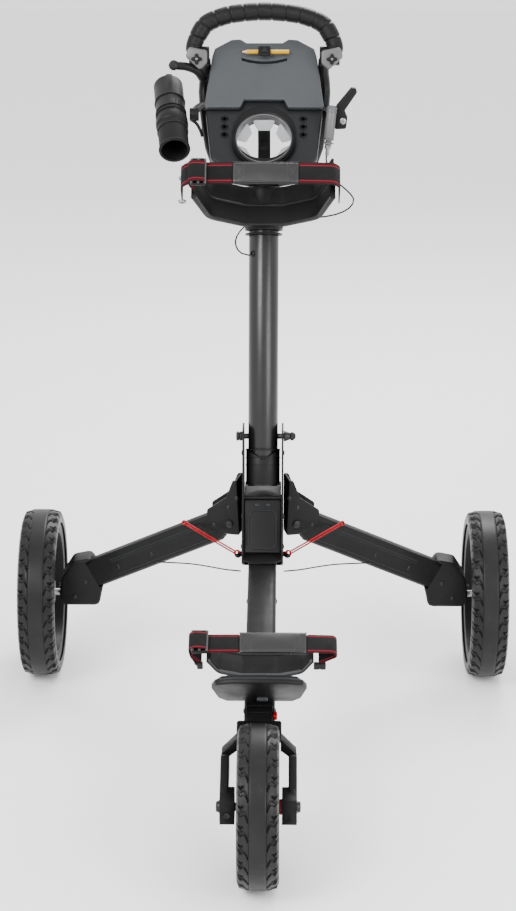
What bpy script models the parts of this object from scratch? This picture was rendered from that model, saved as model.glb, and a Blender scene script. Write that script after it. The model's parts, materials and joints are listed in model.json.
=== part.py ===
"""Three-wheel folding golf push cart, built as separate solids.

Metres, +Z up. The front wheel points along -Y and +X is the viewer's right from the front.
The origin is on the ground at the middle of the cart's length. Positions are given by
at(x, forward, up), where forward is measured from the rear axle and up from the ground.
"""

from math import cos, pi, radians, sin, tan

import bmesh
import bpy
from mathutils import Matrix, Vector

# Driving dimensions: wheels and track
REAR_WHEEL_R = 0.140
FRONT_WHEEL_R = 0.1155
WHEELBASE = 0.758
HALF_TRACK = 0.3735
REAR_TYRE_W = 0.0612
FRONT_TYRE_W = 0.0584
REAR_AXLE_Y = (WHEELBASE + FRONT_WHEEL_R - REAR_WHEEL_R) / 2
AXLE_R = 0.006
SPOKES = 6

# Driving dimensions: frame
GAP = 0.0003
HUB_HALF_W = 0.033
HUB_WALL = 0.003
LOWER_TUBE_W = 0.0446
LOWER_TUBE_H = 0.048
LOWER_TUBE_SLOPE = radians(11.0)
LOWER_TUBE_START = (0.100, 0.281)
LOWER_TUBE_LENGTH = 0.520
UPPER_TUBE_R = 0.0239
UPPER_TUBE_WALL = 0.002
UPPER_TUBE_LEAN = radians(72.0)
FOLD_PIN = (0.115, 0.454)
FOLD_PIN_R = 0.0045
TUBE_TAIL = 0.080
TUBE_TOP = 0.352
COLLAR_R = 0.0289
YOKE_R = 0.0088

# Driving dimensions: rear legs
LEG_ROOT = (0.088, 0.085, 0.286)
LEG_TIP = (0.282, 0.012, 0.181)
LEG_PIVOT_X = 0.050
LEG_H = 0.049
LEG_T = 0.024
LEG_LENGTH = 0.290
LEG_ROOT_R = 0.0122
LEG_PIN_R = 0.0040
BRAKE_PIN = (0.3425, -0.014, 0.148)
BRAKE_PIN_R = 0.0040
STRUT_LEG_END = (0.1295, 0.087, 0.296)
STRUT_SLIDER_END = (0.0405, 0.160, 0.269)
STRUT_T = 0.0035
CROSSBAR_R = 0.0045
SLIDER_TRAVEL = 0.0315

# Driving dimensions: front end
NECK_PIVOT = (0.634, 0.1795)
FORK_HALF_W = 0.0540

# Driving dimensions: bag cradles, set across the bag's lean
BAG_LEAN = radians(52.0)
UPPER_SADDLE = (0.036, 0.797)
LOWER_SADDLE = (0.519, 0.2262)
LOWER_SADDLE_LEAN = radians(30.0)
WEB_W = 0.038
LOWER_WEB_W = 0.033
WEB_T = 0.0022

# Driving dimensions: console, handle and accessories
PANEL_FOOT = (0.060, 0.891)
PANEL_LEAN = radians(48.0)
PANEL_T = 0.030
LID_T = 0.0076
LID_HINGE_V = 0.2225
CUP_R = 0.0430
CUP_OUTER_R = 0.0475
CUP_V = 0.0415
PENCIL_V = 0.1975
PENCIL_LIFT = 0.0072
HANDLE_PIVOT = (-0.066, 1.036)
KNUCKLE_X = 0.0960
EYE_X = 0.1130
EYE_W = 0.0160
COVER_X = 0.1078
GRIP_R = 0.0136
UMBRELLA_AXIS = (-0.1470, 0.010, 0.952)
UMBRELLA_R = 0.0235
UMBRELLA_DROP = radians(30.0)
LEVER_PIVOT = (0.1235, -0.002, 0.946)

RIGHT = Vector((1, 0, 0))
FORWARD = Vector((0, -1, 0))
UP = Vector((0, 0, 1))


def clear_scene():
    for thing in list(bpy.data.objects):
        bpy.data.objects.remove(thing)


def new_collection(name):
    made = bpy.data.collections.new(name)
    bpy.context.scene.collection.children.link(made)
    return made


clear_scene()
PARTS = new_collection("golf_push_cart")
CUTTERS = new_collection("cutters")


def at(x, forward, up):
    """A point from its distance right, in front of the rear axle and above the ground."""
    return Vector((x, REAR_AXLE_Y - forward, up))


def frame(origin, x_dir, y_dir):
    """A placement whose local X and Y run along x_dir and y_dir."""
    x = x_dir.normalized()
    z = x.cross(y_dir).normalized()
    y = z.cross(x)
    turned_axes = Matrix((x, y, z)).transposed().to_4x4()
    return Matrix.Translation(origin) @ turned_axes


def side_frame(x, forward=0.0, up=0.0):
    """Local X runs forward, local Y up, so side outlines read as (forward, up)."""
    return frame(at(x, forward, up), FORWARD, UP)


def lean_frame(forward, up, angle):
    """Local X is right, local Y climbs backwards at this angle, local Z faces forward and up."""
    return frame(at(0, forward, up), RIGHT, Vector((0, cos(angle), sin(angle))))


def across_frame(forward, up, lean):
    """Local X is right and local Y is square to a line that climbs backwards at this lean."""
    return frame(at(0, forward, up), RIGHT, Vector((0, -sin(lean), cos(lean))))


def axis_frame(origin, z_dir, x_dir=RIGHT):
    """Local Z runs along z_dir."""
    z = z_dir.normalized()
    x = x_dir - z * x_dir.dot(z)
    if x.length < 1e-6:
        x = FORWARD - z * FORWARD.dot(z)
    return frame(origin, x, z.cross(x))


def material(name, colour, roughness, metallic=0.0):
    made = bpy.data.materials.new(name)
    made.use_nodes = True
    shader = made.node_tree.nodes["Principled BSDF"]
    shader.inputs["Base Color"].default_value = (*colour, 1.0)
    shader.inputs["Roughness"].default_value = roughness
    shader.inputs["Metallic"].default_value = metallic
    return made


def pivot(name, position):
    """An empty on a joint's axis."""
    empty = bpy.data.objects.new(name, None)
    empty.location = position
    empty.empty_display_size = 0.03
    PARTS.objects.link(empty)
    return empty


def add(name, mesh, place, finish=None, parent=None):
    """Puts a mesh in the scene, as a part if it has a finish and as a cutter if not."""
    thing = bpy.data.objects.new(name, mesh)
    if finish is None:
        CUTTERS.objects.link(thing)
        thing.hide_render = True
        thing.display_type = "WIRE"
    else:
        PARTS.objects.link(thing)
        mesh.materials.append(finish)
    thing.parent = parent
    offset = Matrix.Translation(-parent.location) if parent else Matrix()
    thing.matrix_basis = offset @ place
    return thing


def smooth(thing, angle=32.0):
    thing.data.shade_smooth()
    thing.data.set_sharp_from_angle(angle=radians(angle))


def cut(thing, cutter, operation="DIFFERENCE"):
    boolean = thing.modifiers.new(cutter.name, "BOOLEAN")
    boolean.operation = operation
    boolean.solver = "EXACT"
    boolean.object = cutter


def join(thing, name, mesh, place):
    """Fuses another closed mesh onto a part."""
    cut(thing, add(name, mesh, place), "UNION")


def box_mesh(size):
    mesh = bpy.data.meshes.new("box")
    shape = bmesh.new()
    bmesh.ops.create_cube(shape, size=1.0)
    bmesh.ops.scale(shape, vec=size, verts=shape.verts)
    shape.to_mesh(mesh)
    shape.free()
    return mesh


def rod_mesh(radius, length, sides=24, tip_radius=None):
    """A cylinder or cone along Z, centred on its origin."""
    mesh = bpy.data.meshes.new("rod")
    shape = bmesh.new()
    end = radius if tip_radius is None else tip_radius
    bmesh.ops.create_cone(
        shape, cap_ends=True, segments=sides, radius1=radius, radius2=end, depth=length
    )
    shape.to_mesh(mesh)
    shape.free()
    return mesh


def baked(thing):
    """The evaluated mesh of a curve, welded, with the curve removed."""
    graph = bpy.context.evaluated_depsgraph_get()
    mesh = bpy.data.meshes.new_from_object(thing.evaluated_get(graph))
    bpy.data.objects.remove(thing)
    shape = bmesh.new()
    shape.from_mesh(mesh)
    bmesh.ops.remove_doubles(shape, verts=shape.verts, dist=2e-5)
    bmesh.ops.dissolve_limit(
        shape, angle_limit=radians(0.5), verts=shape.verts, edges=shape.edges
    )
    bmesh.ops.recalc_face_normals(shape, faces=shape.faces)
    shape.to_mesh(mesh)
    shape.free()
    mesh.materials.clear()
    return mesh


def plate_mesh(outlines, thickness, rounding=0.0):
    """A flat outline, with any inner outlines as holes, thickened about its own plane."""
    curve = bpy.data.curves.new("outline", "CURVE")
    curve.dimensions = "2D"
    curve.fill_mode = "BOTH"
    curve.extrude = thickness / 2 - rounding
    curve.bevel_depth = rounding
    curve.bevel_resolution = 0
    curve.offset = -rounding
    for outline in outlines:
        spline = curve.splines.new("POLY")
        spline.points.add(len(outline) - 1)
        for point, (x, y) in zip(spline.points, outline):
            point.co = (x, y, 0, 1)
        spline.use_cyclic_u = True
    thing = bpy.data.objects.new("outline", curve)
    bpy.context.scene.collection.objects.link(thing)
    bpy.context.view_layer.update()
    return baked(thing)


def wire_mesh(points, radius, resolution=2):
    """A round bar through smooth points, with closed ends."""
    curve = bpy.data.curves.new("wire", "CURVE")
    curve.dimensions = "3D"
    curve.bevel_depth = radius
    curve.bevel_resolution = resolution
    curve.use_fill_caps = True
    spline = curve.splines.new("POLY")
    spline.points.add(len(points) - 1)
    for point, place in zip(spline.points, points):
        point.co = (*place, 1)
    thing = bpy.data.objects.new("wire", curve)
    bpy.context.scene.collection.objects.link(thing)
    bpy.context.view_layer.update()
    return baked(thing)


def turned_mesh(profile, steps=32, ring=False):
    """A profile of (radius, height) turned about Z; a ring's profile closes on itself."""
    mesh = bpy.data.meshes.new("profile")
    edges = [(i, i + 1) for i in range(len(profile) - 1)]
    if ring:
        edges.append((len(profile) - 1, 0))
    mesh.from_pydata([(r, 0, z) for r, z in profile], edges, [])
    thing = bpy.data.objects.new("profile", mesh)
    bpy.context.scene.collection.objects.link(thing)
    screw = thing.modifiers.new("turn", "SCREW")
    screw.steps = steps
    screw.render_steps = steps
    screw.use_merge_vertices = True
    screw.merge_threshold = 1e-5
    bpy.context.view_layer.update()
    return baked(thing)


def arc(centre, radius, start, end, steps=8):
    """Points along an arc, in degrees."""
    angles = [radians(start + (end - start) * i / steps) for i in range(steps + 1)]
    return [(centre[0] + radius * cos(a), centre[1] + radius * sin(a)) for a in angles]


def circle(centre, radius, steps=24):
    return arc(centre, radius, 0, 360 * (steps - 1) / steps, steps - 1)


def fillet(points, radius, steps=3, closed=True):
    """A polygon with its corners rounded."""
    made = []
    count = len(points)
    for i, point in enumerate(points):
        if not closed and i in (0, count - 1):
            made.append(point)
            continue
        here = Vector(point)
        before = Vector(points[i - 1]) - here
        after = Vector(points[(i + 1) % count]) - here
        turn = before.angle(after)
        reach = min(radius / max(tan(turn / 2), 1e-6), 0.45 * min(before.length, after.length))
        first = here + before.normalized() * reach
        last = here + after.normalized() * reach
        for k in range(steps + 1):
            t = k / steps
            blend = first * (1 - t) ** 2 + here * 2 * t * (1 - t) + last * t**2
            made.append(tuple(blend))
    return made


def mirrored(half):
    """A closed outline from its right half, which runs from the centre line to the centre line."""
    left = [(-x, y) for x, y in reversed(half) if abs(x) > 1e-9]
    return half + left


def band_outline(path, thickness):
    """The outline of a strip of this thickness along an open path."""
    sides = ([], [])
    for i, point in enumerate(path):
        here = Vector(point)
        before = (here - Vector(path[i - 1])).normalized() if i else None
        after = (Vector(path[i + 1]) - here).normalized() if i + 1 < len(path) else None
        along = ((before or after) + (after or before)).normalized()
        square = Vector((-along.y, along.x))
        stretch = along.dot(after or before)
        for side, sign in zip(sides, (1, -1)):
            side.append(tuple(here + square * (sign * thickness / 2 / max(stretch, 0.5))))
    return sides[0] + sides[1][::-1]


def smooth_points(points, per_span=6):
    """A smooth curve through hand-placed points."""
    ends = [points[0] * 2 - points[1], *points, points[-1] * 2 - points[-2]]
    made = []
    for a, b, c, d in zip(ends, ends[1:], ends[2:], ends[3:]):
        for k in range(per_span):
            t = k / per_span
            made.append(
                b + (c - a) * (t / 2) + (a * 2 - b * 5 + c * 4 - d) * (t**2 / 2)
                + (b * 3 - a - c * 3 + d) * (t**3 / 2)
            )
    return [*made, points[-1]]


def finishes():
    """Every finish by its name."""
    table = {
        "black_paint": ((0.030, 0.030, 0.032), 0.38, 0.55),
        "black_plastic": ((0.022, 0.022, 0.024), 0.50, 0.0),
        "grey_plastic": ((0.115, 0.122, 0.130), 0.42, 0.0),
        "dark_grey_plastic": ((0.055, 0.060, 0.064), 0.45, 0.0),
        "wing_grey": ((0.090, 0.090, 0.092), 0.50, 0.0),
        "silver_plastic": ((0.310, 0.310, 0.315), 0.35, 0.3),
        "tyre_rubber": ((0.045, 0.045, 0.047), 0.68, 0.0),
        "webbing": ((0.050, 0.045, 0.047), 0.85, 0.0),
        "leatherette": ((0.028, 0.028, 0.030), 0.40, 0.0),
        "red_paint": ((0.420, 0.012, 0.022), 0.35, 0.2),
        "steel": ((0.550, 0.550, 0.560), 0.28, 1.0),
        "pencil_yellow": ((0.860, 0.540, 0.030), 0.40, 0.0),
        "grip_rubber": ((0.024, 0.024, 0.026), 0.62, 0.0),
    }
    return {name: material(name, *values) for name, values in table.items()}


# Wheels


def tyre_mesh(radius, width, rim_radius):
    """A solid tyre with a nearly flat tread and rounded shoulders."""
    half = width / 2
    right = [
        (radius, half * 0.45),
        (radius - 0.0035, half * 0.86),
        (radius - 0.0120, half),
        (rim_radius, half * 0.84),
    ]
    profile = [(r, z) for r, z in reversed(right)] + [(r, -z) for r, z in right]
    return turned_mesh(profile, 32, ring=True)


def rim_profile(rim_radius, width, bore):
    """The wheel disc from its outer flange in to the hub."""
    edge = width / 2 * 0.84
    return [
        (rim_radius, edge),
        (rim_radius, -edge),
        (rim_radius - 0.005, -edge),
        (rim_radius - 0.006, -0.002),
        (0.022, -0.003),
        (0.020, -0.019),
        (bore, -0.019),
        (bore, 0.019),
        (0.020, 0.019),
        (0.022, 0.006),
        (rim_radius - 0.006, 0.006),
        (rim_radius - 0.005, edge),
    ]


def spoke_windows(rim_radius):
    """Rounded openings between the spokes, as one cutter."""
    windows = []
    for i in range(SPOKES):
        middle = 360 * i / SPOKES
        inner = arc((0, 0), 0.034, middle + 12, middle - 12, 1)
        outer = arc((0, 0), rim_radius - 0.014, middle - 24, middle + 24, 4)
        windows.append(outer + inner)
    return plate_mesh(windows, 0.04)


def wheel(side, centre, radius, width, looks, parent):
    """A tyre on a spoked rim, turning about X."""
    rim_radius = radius * 0.76
    place = axis_frame(centre, RIGHT, UP)
    tyre_shape = tyre_mesh(radius, width, rim_radius)
    smooth(add(side + "_tyre", tyre_shape, place, looks["tyre_rubber"], parent), 40)
    rim_mesh = turned_mesh(rim_profile(rim_radius - GAP, width, AXLE_R + GAP), 32, ring=True)
    rim = add(side + "_rim", rim_mesh, place, looks["black_plastic"], parent)
    cut(rim, add(side + "_rim_windows", spoke_windows(rim_radius), place))
    smooth(rim, 35)


# Frame


def lower_tube_line(distance, drop=0.0):
    """A point on the lower tube's axis (or this far below it) at a distance from its rear end."""
    forward, up = LOWER_TUBE_START
    return (
        forward + distance * cos(LOWER_TUBE_SLOPE) - drop * sin(LOWER_TUBE_SLOPE),
        up - distance * sin(LOWER_TUBE_SLOPE) - drop * cos(LOWER_TUBE_SLOPE),
    )


def lower_tube_frame(distance, drop=0.0):
    """Local X runs right, local Y square up from the tube, local Z forward along it."""
    forward, up = lower_tube_line(distance, drop)
    square = Vector((0, -sin(LOWER_TUBE_SLOPE), cos(LOWER_TUBE_SLOPE)))
    return frame(at(0, forward, up), RIGHT, square)


def rounded_rectangle(width, height, radius, steps=3):
    w, h = width / 2, height / 2
    return fillet([(-w, -h), (w, -h), (w, h), (-w, h)], radius, steps)


def tube_room_mesh():
    """The lower tube's outline with a small gap, as a cutter for what sits on the tube."""
    outline = rounded_rectangle(LOWER_TUBE_W + 2 * GAP, LOWER_TUBE_H + 2 * GAP, 0.010)
    return plate_mesh([outline], LOWER_TUBE_LENGTH)


def build_lower_tube(looks):
    """The square tube to the front wheel, slotted at its rear for the slider's crossbar."""
    wall = 0.0025
    outer = rounded_rectangle(LOWER_TUBE_W, LOWER_TUBE_H, 0.010)
    inner = rounded_rectangle(LOWER_TUBE_W - 2 * wall, LOWER_TUBE_H - 2 * wall, 0.008)
    mesh = plate_mesh([outer, inner], LOWER_TUBE_LENGTH)
    tube = add("lower_tube", mesh, lower_tube_frame(LOWER_TUBE_LENGTH / 2), looks["black_paint"])
    cut(tube, add("tube_slider_slot", slider_slot_mesh(), slider_slot_frame()))
    smooth(tube)


def build_hub(looks):
    """A folded channel: two side plates, a back web, a short floor and a bridge over the tube."""
    outline = fillet(
        [
            (0.094, 0.472), (0.138, 0.470), (0.150, 0.440), (0.172, 0.360), (0.214, 0.318),
            (0.228, 0.292), (0.226, 0.276), (0.150, 0.2475), (0.118, 0.2335), (0.072, 0.2335),
            (0.066, 0.280), (0.074, 0.380),
        ],
        0.008,
        2,
    )
    hub = add("hub_channel", plate_mesh([outline], 2 * HUB_HALF_W), side_frame(0), looks["black_paint"])
    hollow = [
        (0.260, 0.2365), (0.0755, 0.2365), (0.0695, 0.280), (0.0735, 0.340), (0.020, 0.344),
        (0.020, 0.500), (0.260, 0.500),
    ]
    inside = plate_mesh([hollow], 2 * (HUB_HALF_W - HUB_WALL))
    cut(hub, add("hub_inside", inside, side_frame(0)))
    wide = HUB_HALF_W - 0.001
    bridge = [(-wide, 0.070), (wide, 0.070), (wide, 0.124), (0.014, 0.1345), (-0.014, 0.1345), (-wide, 0.124)]
    bridge_z = LOWER_TUBE_H / 2 + GAP + 0.0015
    bridge_place = lower_tube_frame(0, -bridge_z) @ Matrix.Rotation(pi / 2, 4, "X")
    join(hub, "hub_bridge", plate_mesh([bridge], 0.003), bridge_place)
    bore = rod_mesh(FOLD_PIN_R + GAP, 0.09, 16)
    cut(hub, add("hub_pin_bore", bore, axis_frame(at(0, *FOLD_PIN), RIGHT)))
    cut(hub, add("hub_slider_slot", slider_slot_mesh(), slider_slot_frame()))
    smooth(hub)


def build_fold_pin(looks):
    """The main hinge bolt: a button head on the left and a coned nut on the right."""
    head = HUB_HALF_W + GAP
    profile = [
        (0, 0.0475), (0.0035, 0.0470), (0.0062, 0.0420), (0.0085, 0.0350), (0.0085, head),
        (FOLD_PIN_R, head), (FOLD_PIN_R, -head), (0.0075, -head), (0.0075, -0.0365),
        (0.0055, -0.0395), (0, -0.0400),
    ]
    place = axis_frame(at(0, *FOLD_PIN), RIGHT)
    smooth(add("fold_pin", turned_mesh(profile, 24), place, looks["steel"]))


def leg_axes(side):
    """The leg's direction and the axis that it swings about, square to the wing plates."""
    root, tip = at(side * LEG_ROOT[0], *LEG_ROOT[1:]), at(side * LEG_TIP[0], *LEG_TIP[1:])
    along = (tip - root).normalized()
    normal = (FORWARD - along * FORWARD.dot(along)).normalized()
    pivot_point = root - along * ((abs(root.x) - LEG_PIVOT_X) / abs(along.x))
    return along, normal, pivot_point


def wing_frame(side):
    """Local X runs outwards, local Y up, in the plane in which the leg swings."""
    _, normal, pivot_point = leg_axes(side)
    level = (UP - normal * UP.dot(normal)).normalized()
    return frame(pivot_point, level.cross(normal) * side, level)


def leg_frame(side):
    """Local X runs out along the leg from its pivot, local Y square up across it."""
    along, normal, pivot_point = leg_axes(side)
    across = normal.cross(along) * side
    return frame(pivot_point, along, across if across.z > 0 else -across)


def build_wing(side, name, looks):
    """Two plates and a web that hold the leg's root, riveted to the side of the hub."""
    inner = -(LEG_PIVOT_X - HUB_HALF_W) + 0.0006
    web = 0.0035
    outline = fillet(
        [
            (inner, 0.080), (inner + 0.008, 0.078), (0.004, 0.047), (0.038, 0.021), (0.038, -0.006),
            (0.026, -0.0135), (0.004, -0.020), (inner, -0.020),
        ],
        0.004,
        2,
    )
    place = wing_frame(side)
    half = LEG_T / 2 + 0.0006
    plates = plate_mesh([outline], 2 * half + 0.008, 0.0012)
    wing = add(name + "_wing", plates, place, looks["black_paint"])
    slot_w = 0.090
    slot_place = place @ Matrix.Translation((slot_w / 2 + inner + web, 0.02, 0))
    cut(wing, add(name + "_wing_slot", box_mesh((slot_w, 0.140, 2 * half)), slot_place))
    hub_side = box_mesh((0.050, 0.300, 0.300))
    keep_off = frame(at(side * (HUB_HALF_W + GAP - 0.025), 0.1, 0.32), RIGHT, UP)
    cut(wing, add(name + "_wing_face", hub_side, keep_off))
    cut(wing, add(name + "_wing_bore", rod_mesh(LEG_PIN_R + GAP, 0.06, 12), place))
    smooth(wing)
    head, seat, end = 0.0065, 0.0172, 0.0198
    profile = [
        (0, end), (head, 0.0180), (head, seat), (LEG_PIN_R, seat), (LEG_PIN_R, -seat),
        (head, -seat), (head, -0.0180), (0, -end),
    ]
    smooth(add(name + "_leg_pin", turned_mesh(profile, 16), place, looks["steel"]))


def build_leg(side, name, looks, parent):
    """A deep flattened tube with a rounded root lug and an open outer end."""
    place = leg_frame(side)
    half = LEG_H / 2
    outline = (
        arc((0, 0), LEG_ROOT_R, 110, 250, 6)
        + fillet([(0.006, -LEG_ROOT_R), (0.030, -half), (LEG_LENGTH, -half)], 0.006, 2, False)
        + fillet([(LEG_LENGTH, half), (0.020, half), (0.002, LEG_ROOT_R)], 0.006, 2, False)
    )
    leg = add(name + "_leg", plate_mesh([outline], LEG_T, 0.005), place, looks["black_paint"], parent)
    hollow = box_mesh((LEG_LENGTH, LEG_H - 0.009, LEG_T - 0.008))
    hollow_place = place @ Matrix.Translation((0.040 + LEG_LENGTH / 2, 0, 0))
    cut(leg, add(name + "_leg_hollow", hollow, hollow_place))
    cut(leg, add(name + "_leg_bore", rod_mesh(LEG_PIN_R + GAP, 0.06, 12), place))
    smooth(leg)


def build_leg_end(side, name, looks, parent):
    """The cast bracket on the leg's end: a rounded cap over the leg and a boss on the axle."""
    place = frame(at(side * 0.303, 0, REAR_WHEEL_R), RIGHT * side, UP)
    outline = fillet(
        [
            (-0.026, -0.016), (0.036, -0.016), (0.041, 0.004), (0.036, 0.034), (0.018, 0.062),
            (-0.012, 0.068), (-0.036, 0.030), (-0.030, 0.006),
        ],
        0.010,
        2,
    )
    bracket = plate_mesh([outline], 0.046, 0.003)
    end = add(name + "_leg_end", bracket, place, looks["black_plastic"], parent)
    socket = box_mesh((LEG_LENGTH + 2 * GAP, LEG_H + 2 * GAP, LEG_T + 2 * GAP))
    socket_place = leg_frame(side) @ Matrix.Translation((LEG_LENGTH / 2, 0, 0))
    cut(end, add(name + "_leg_socket", socket, socket_place))
    bore_place = axis_frame(at(side * 0.337, 0, REAR_WHEEL_R), RIGHT)
    cut(end, add(name + "_axle_bore", rod_mesh(AXLE_R + GAP, 0.060, 20), bore_place))
    pin_x, pin_forward, pin_up = BRAKE_PIN
    pin_place = axis_frame(at(side * pin_x, pin_forward, pin_up), RIGHT)
    cut(end, add(name + "_pin_bore", rod_mesh(BRAKE_PIN_R + GAP, 0.060, 12), pin_place))
    smooth(end)
    inner, shoulder, outer = 0.3075, HALF_TRACK + 0.0195, HALF_TRACK + 0.0265
    profile = [
        (0, outer + 0.006), (0.0070, outer + 0.005), (0.0100, outer), (0.0100, shoulder),
        (AXLE_R, shoulder), (AXLE_R, inner), (0, inner),
    ]
    axle_place = axis_frame(at(0, 0, REAR_WHEEL_R), RIGHT * side)
    smooth(add(name + "_axle", turned_mesh(profile, 20), axle_place, looks["steel"], parent))


def build_brake_pin(side, name, looks, parent):
    """The steel pin that a brake cable pushes out towards the rim."""
    pin_x, pin_forward, pin_up = BRAKE_PIN
    profile = [(0, 0.007), (BRAKE_PIN_R, 0.0055), (BRAKE_PIN_R, -0.014), (0, -0.014)]
    place = axis_frame(at(side * pin_x, pin_forward, pin_up), RIGHT * side)
    smooth(add(name + "_brake_pin", turned_mesh(profile, 12), place, looks["steel"], parent))


def slider_slot_mesh():
    """The path of the slider's crossbar, as a cutter through the tube and the hub."""
    return box_mesh((0.100, 2 * CROSSBAR_R + 0.001, SLIDER_TRAVEL + 2 * CROSSBAR_R + 0.002))


def slider_slot_frame():
    """The middle of the slider's path, in the lower tube's frame."""
    start = (STRUT_SLIDER_END[1] - LOWER_TUBE_START[0]) / cos(LOWER_TUBE_SLOPE)
    return lower_tube_frame(start + SLIDER_TRAVEL / 2)


def strut_ends(side):
    """The middles of the strut's two eyes and the direction that its face looks in."""
    slider_x, slider_forward, slider_up = STRUT_SLIDER_END
    leg_x, leg_forward, leg_up = STRUT_LEG_END
    inner = at(side * (slider_x + 0.004), slider_forward + 0.013, slider_up)
    outer = at(side * leg_x, leg_forward + 0.012, leg_up)
    face = (outer - inner).cross(UP).normalized() * side
    return inner, outer, face


def build_slider(looks, parent):
    """A block inside the tube with a crossbar that carries the struts' inner ends."""
    start = (STRUT_SLIDER_END[1] - LOWER_TUBE_START[0]) / cos(LOWER_TUBE_SLOPE)
    block = plate_mesh([rounded_rectangle(LOWER_TUBE_W - 0.0064, LOWER_TUBE_H - 0.0070, 0.009)], 0.026)
    slider = add("strut_slider", block, lower_tube_frame(start), looks["black_paint"], parent)
    crossbar = rod_mesh(CROSSBAR_R, 2 * STRUT_SLIDER_END[0], 14)
    join(slider, "slider_crossbar", crossbar, axis_frame(at(0, *STRUT_SLIDER_END[1:]), RIGHT))
    for side in (-1, 1):
        inner, _, face = strut_ends(side)
        stub = wire_mesh([inner - face * 0.0115, inner - face * (STRUT_T / 2 + 0.0022)], 0.0035, 1)
        join(slider, "slider_stub", stub, Matrix())
    smooth(slider)


def build_strut(side, name, looks, parent):
    """Two thin bars joined by eyes at both ends."""
    inner, outer, _ = strut_ends(side)
    place = frame((inner + outer) / 2, outer - inner, UP)
    half = (outer - inner).length / 2
    outline = arc((half, 0), 0.0055, -90, 90, 4) + arc((-half, 0), 0.0055, 90, 270, 4)
    slot = arc((half - 0.012, 0), 0.0018, -90, 90, 2) + arc((-half + 0.012, 0), 0.0018, 90, 270, 2)
    strut = plate_mesh([outline, slot], STRUT_T)
    smooth(add(name + "_strut", strut, place, looks["red_paint"], parent))


# Front end


def build_front(looks, fork_pivot, tab_pivot):
    """The neck plugged into the tube, the folding fork with its axle, and the release tab."""
    half_w = 0.0193
    knuckle = arc(NECK_PIVOT, 0.0143, 0, -90, 4)
    neck_outline = [(0.604, 0.2050), (0.622, 0.2040), (0.6480, 0.1960), *knuckle, (0.604, 0.1652)]
    neck_mesh = plate_mesh([neck_outline], 2 * half_w, 0.001)
    neck = add("front_neck", neck_mesh, side_frame(0), looks["black_plastic"])
    cut(neck, add("neck_tube_room", tube_room_mesh(), lower_tube_frame(LOWER_TUBE_LENGTH / 2 + GAP)))
    smooth(neck)

    crown = fillet([(0.6515, 0.2000), (0.6800, 0.1930), (0.6800, 0.1600), (0.6460, 0.1610)], 0.004, 2)
    crown_mesh = plate_mesh([crown], 0.064, 0.002)
    fork = add("front_fork", crown_mesh, side_frame(0), looks["black_plastic"], fork_pivot)
    arm_t, block_t = 0.012, 0.0208
    arm = fillet(
        [
            (0.6560, 0.1520), (0.7000, 0.1660), (0.7500, 0.1390), (0.7780, 0.1310), (0.7790, 0.0980),
            (0.7400, 0.0950), (0.7280, 0.1180), (0.6560, 0.1240),
        ],
        0.006,
        2,
    )
    brace = [
        (0.0240, 0.1890), (0.0285, 0.1855), (0.0532, 0.1600), (0.0534, 0.1280), (0.0424, 0.1280),
        (0.0424, 0.1560), (0.0300, 0.1660), (0.0240, 0.1660),
    ]
    block = fillet([(0.7385, 0.0950), (0.7785, 0.0965), (0.7785, 0.1335), (0.7385, 0.1385)], 0.004, 2)
    for side, name in ((-1, "left"), (1, "right")):
        arm_place = side_frame(side * (FORK_HALF_W - arm_t / 2))
        join(fork, name + "_fork_arm", plate_mesh([arm], arm_t, 0.0015), arm_place)
        brace_line = [(side * x, z) for x, z in brace]
        brace_place = frame(at(0, 0.6700, 0), RIGHT, UP)
        join(fork, name + "_fork_brace", plate_mesh([brace_line], 0.024), brace_place)
        block_place = side_frame(side * (FORK_HALF_W - GAP - block_t / 2))
        join(fork, name + "_axle_block", plate_mesh([block], block_t), block_place)
    axle_line = axis_frame(at(0, WHEELBASE, FRONT_WHEEL_R), RIGHT)
    wheel_room = rod_mesh(FRONT_WHEEL_R + 0.004, FRONT_TYRE_W + 0.0030, 32)
    cut(fork, add("fork_wheel_room", wheel_room, axle_line))
    cut(fork, add("fork_axle_bore", rod_mesh(AXLE_R + GAP, 0.16, 20), axle_line))
    smooth(fork)

    seat = FORK_HALF_W + GAP
    right = [(0, seat + 0.0052), (0.0070, seat + 0.0047), (0.0090, seat), (AXLE_R, seat)]
    profile = right + [(r, -z) for r, z in reversed(right)]
    smooth(add("front_axle", turned_mesh(profile, 20), axle_line, looks["steel"], fork_pivot))

    tab_room = box_mesh((0.0200, 0.0050, 0.0115))
    cut(neck, add("neck_tab_room", tab_room, frame(at(half_w, 0.6285, 0.1955), FORWARD, RIGHT)))

    tab = fillet([(-0.007, -0.004), (0.007, -0.004), (0.008, 0.004), (-0.006, 0.005)], 0.0015, 2)
    tab_place = frame(at(half_w + 0.0035, 0.628, 0.195), FORWARD, UP)
    tab_mesh = plate_mesh([tab], 0.006, 0.001)
    smooth(add("release_tab", tab_mesh, tab_place, looks["red_paint"], tab_pivot))


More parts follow.
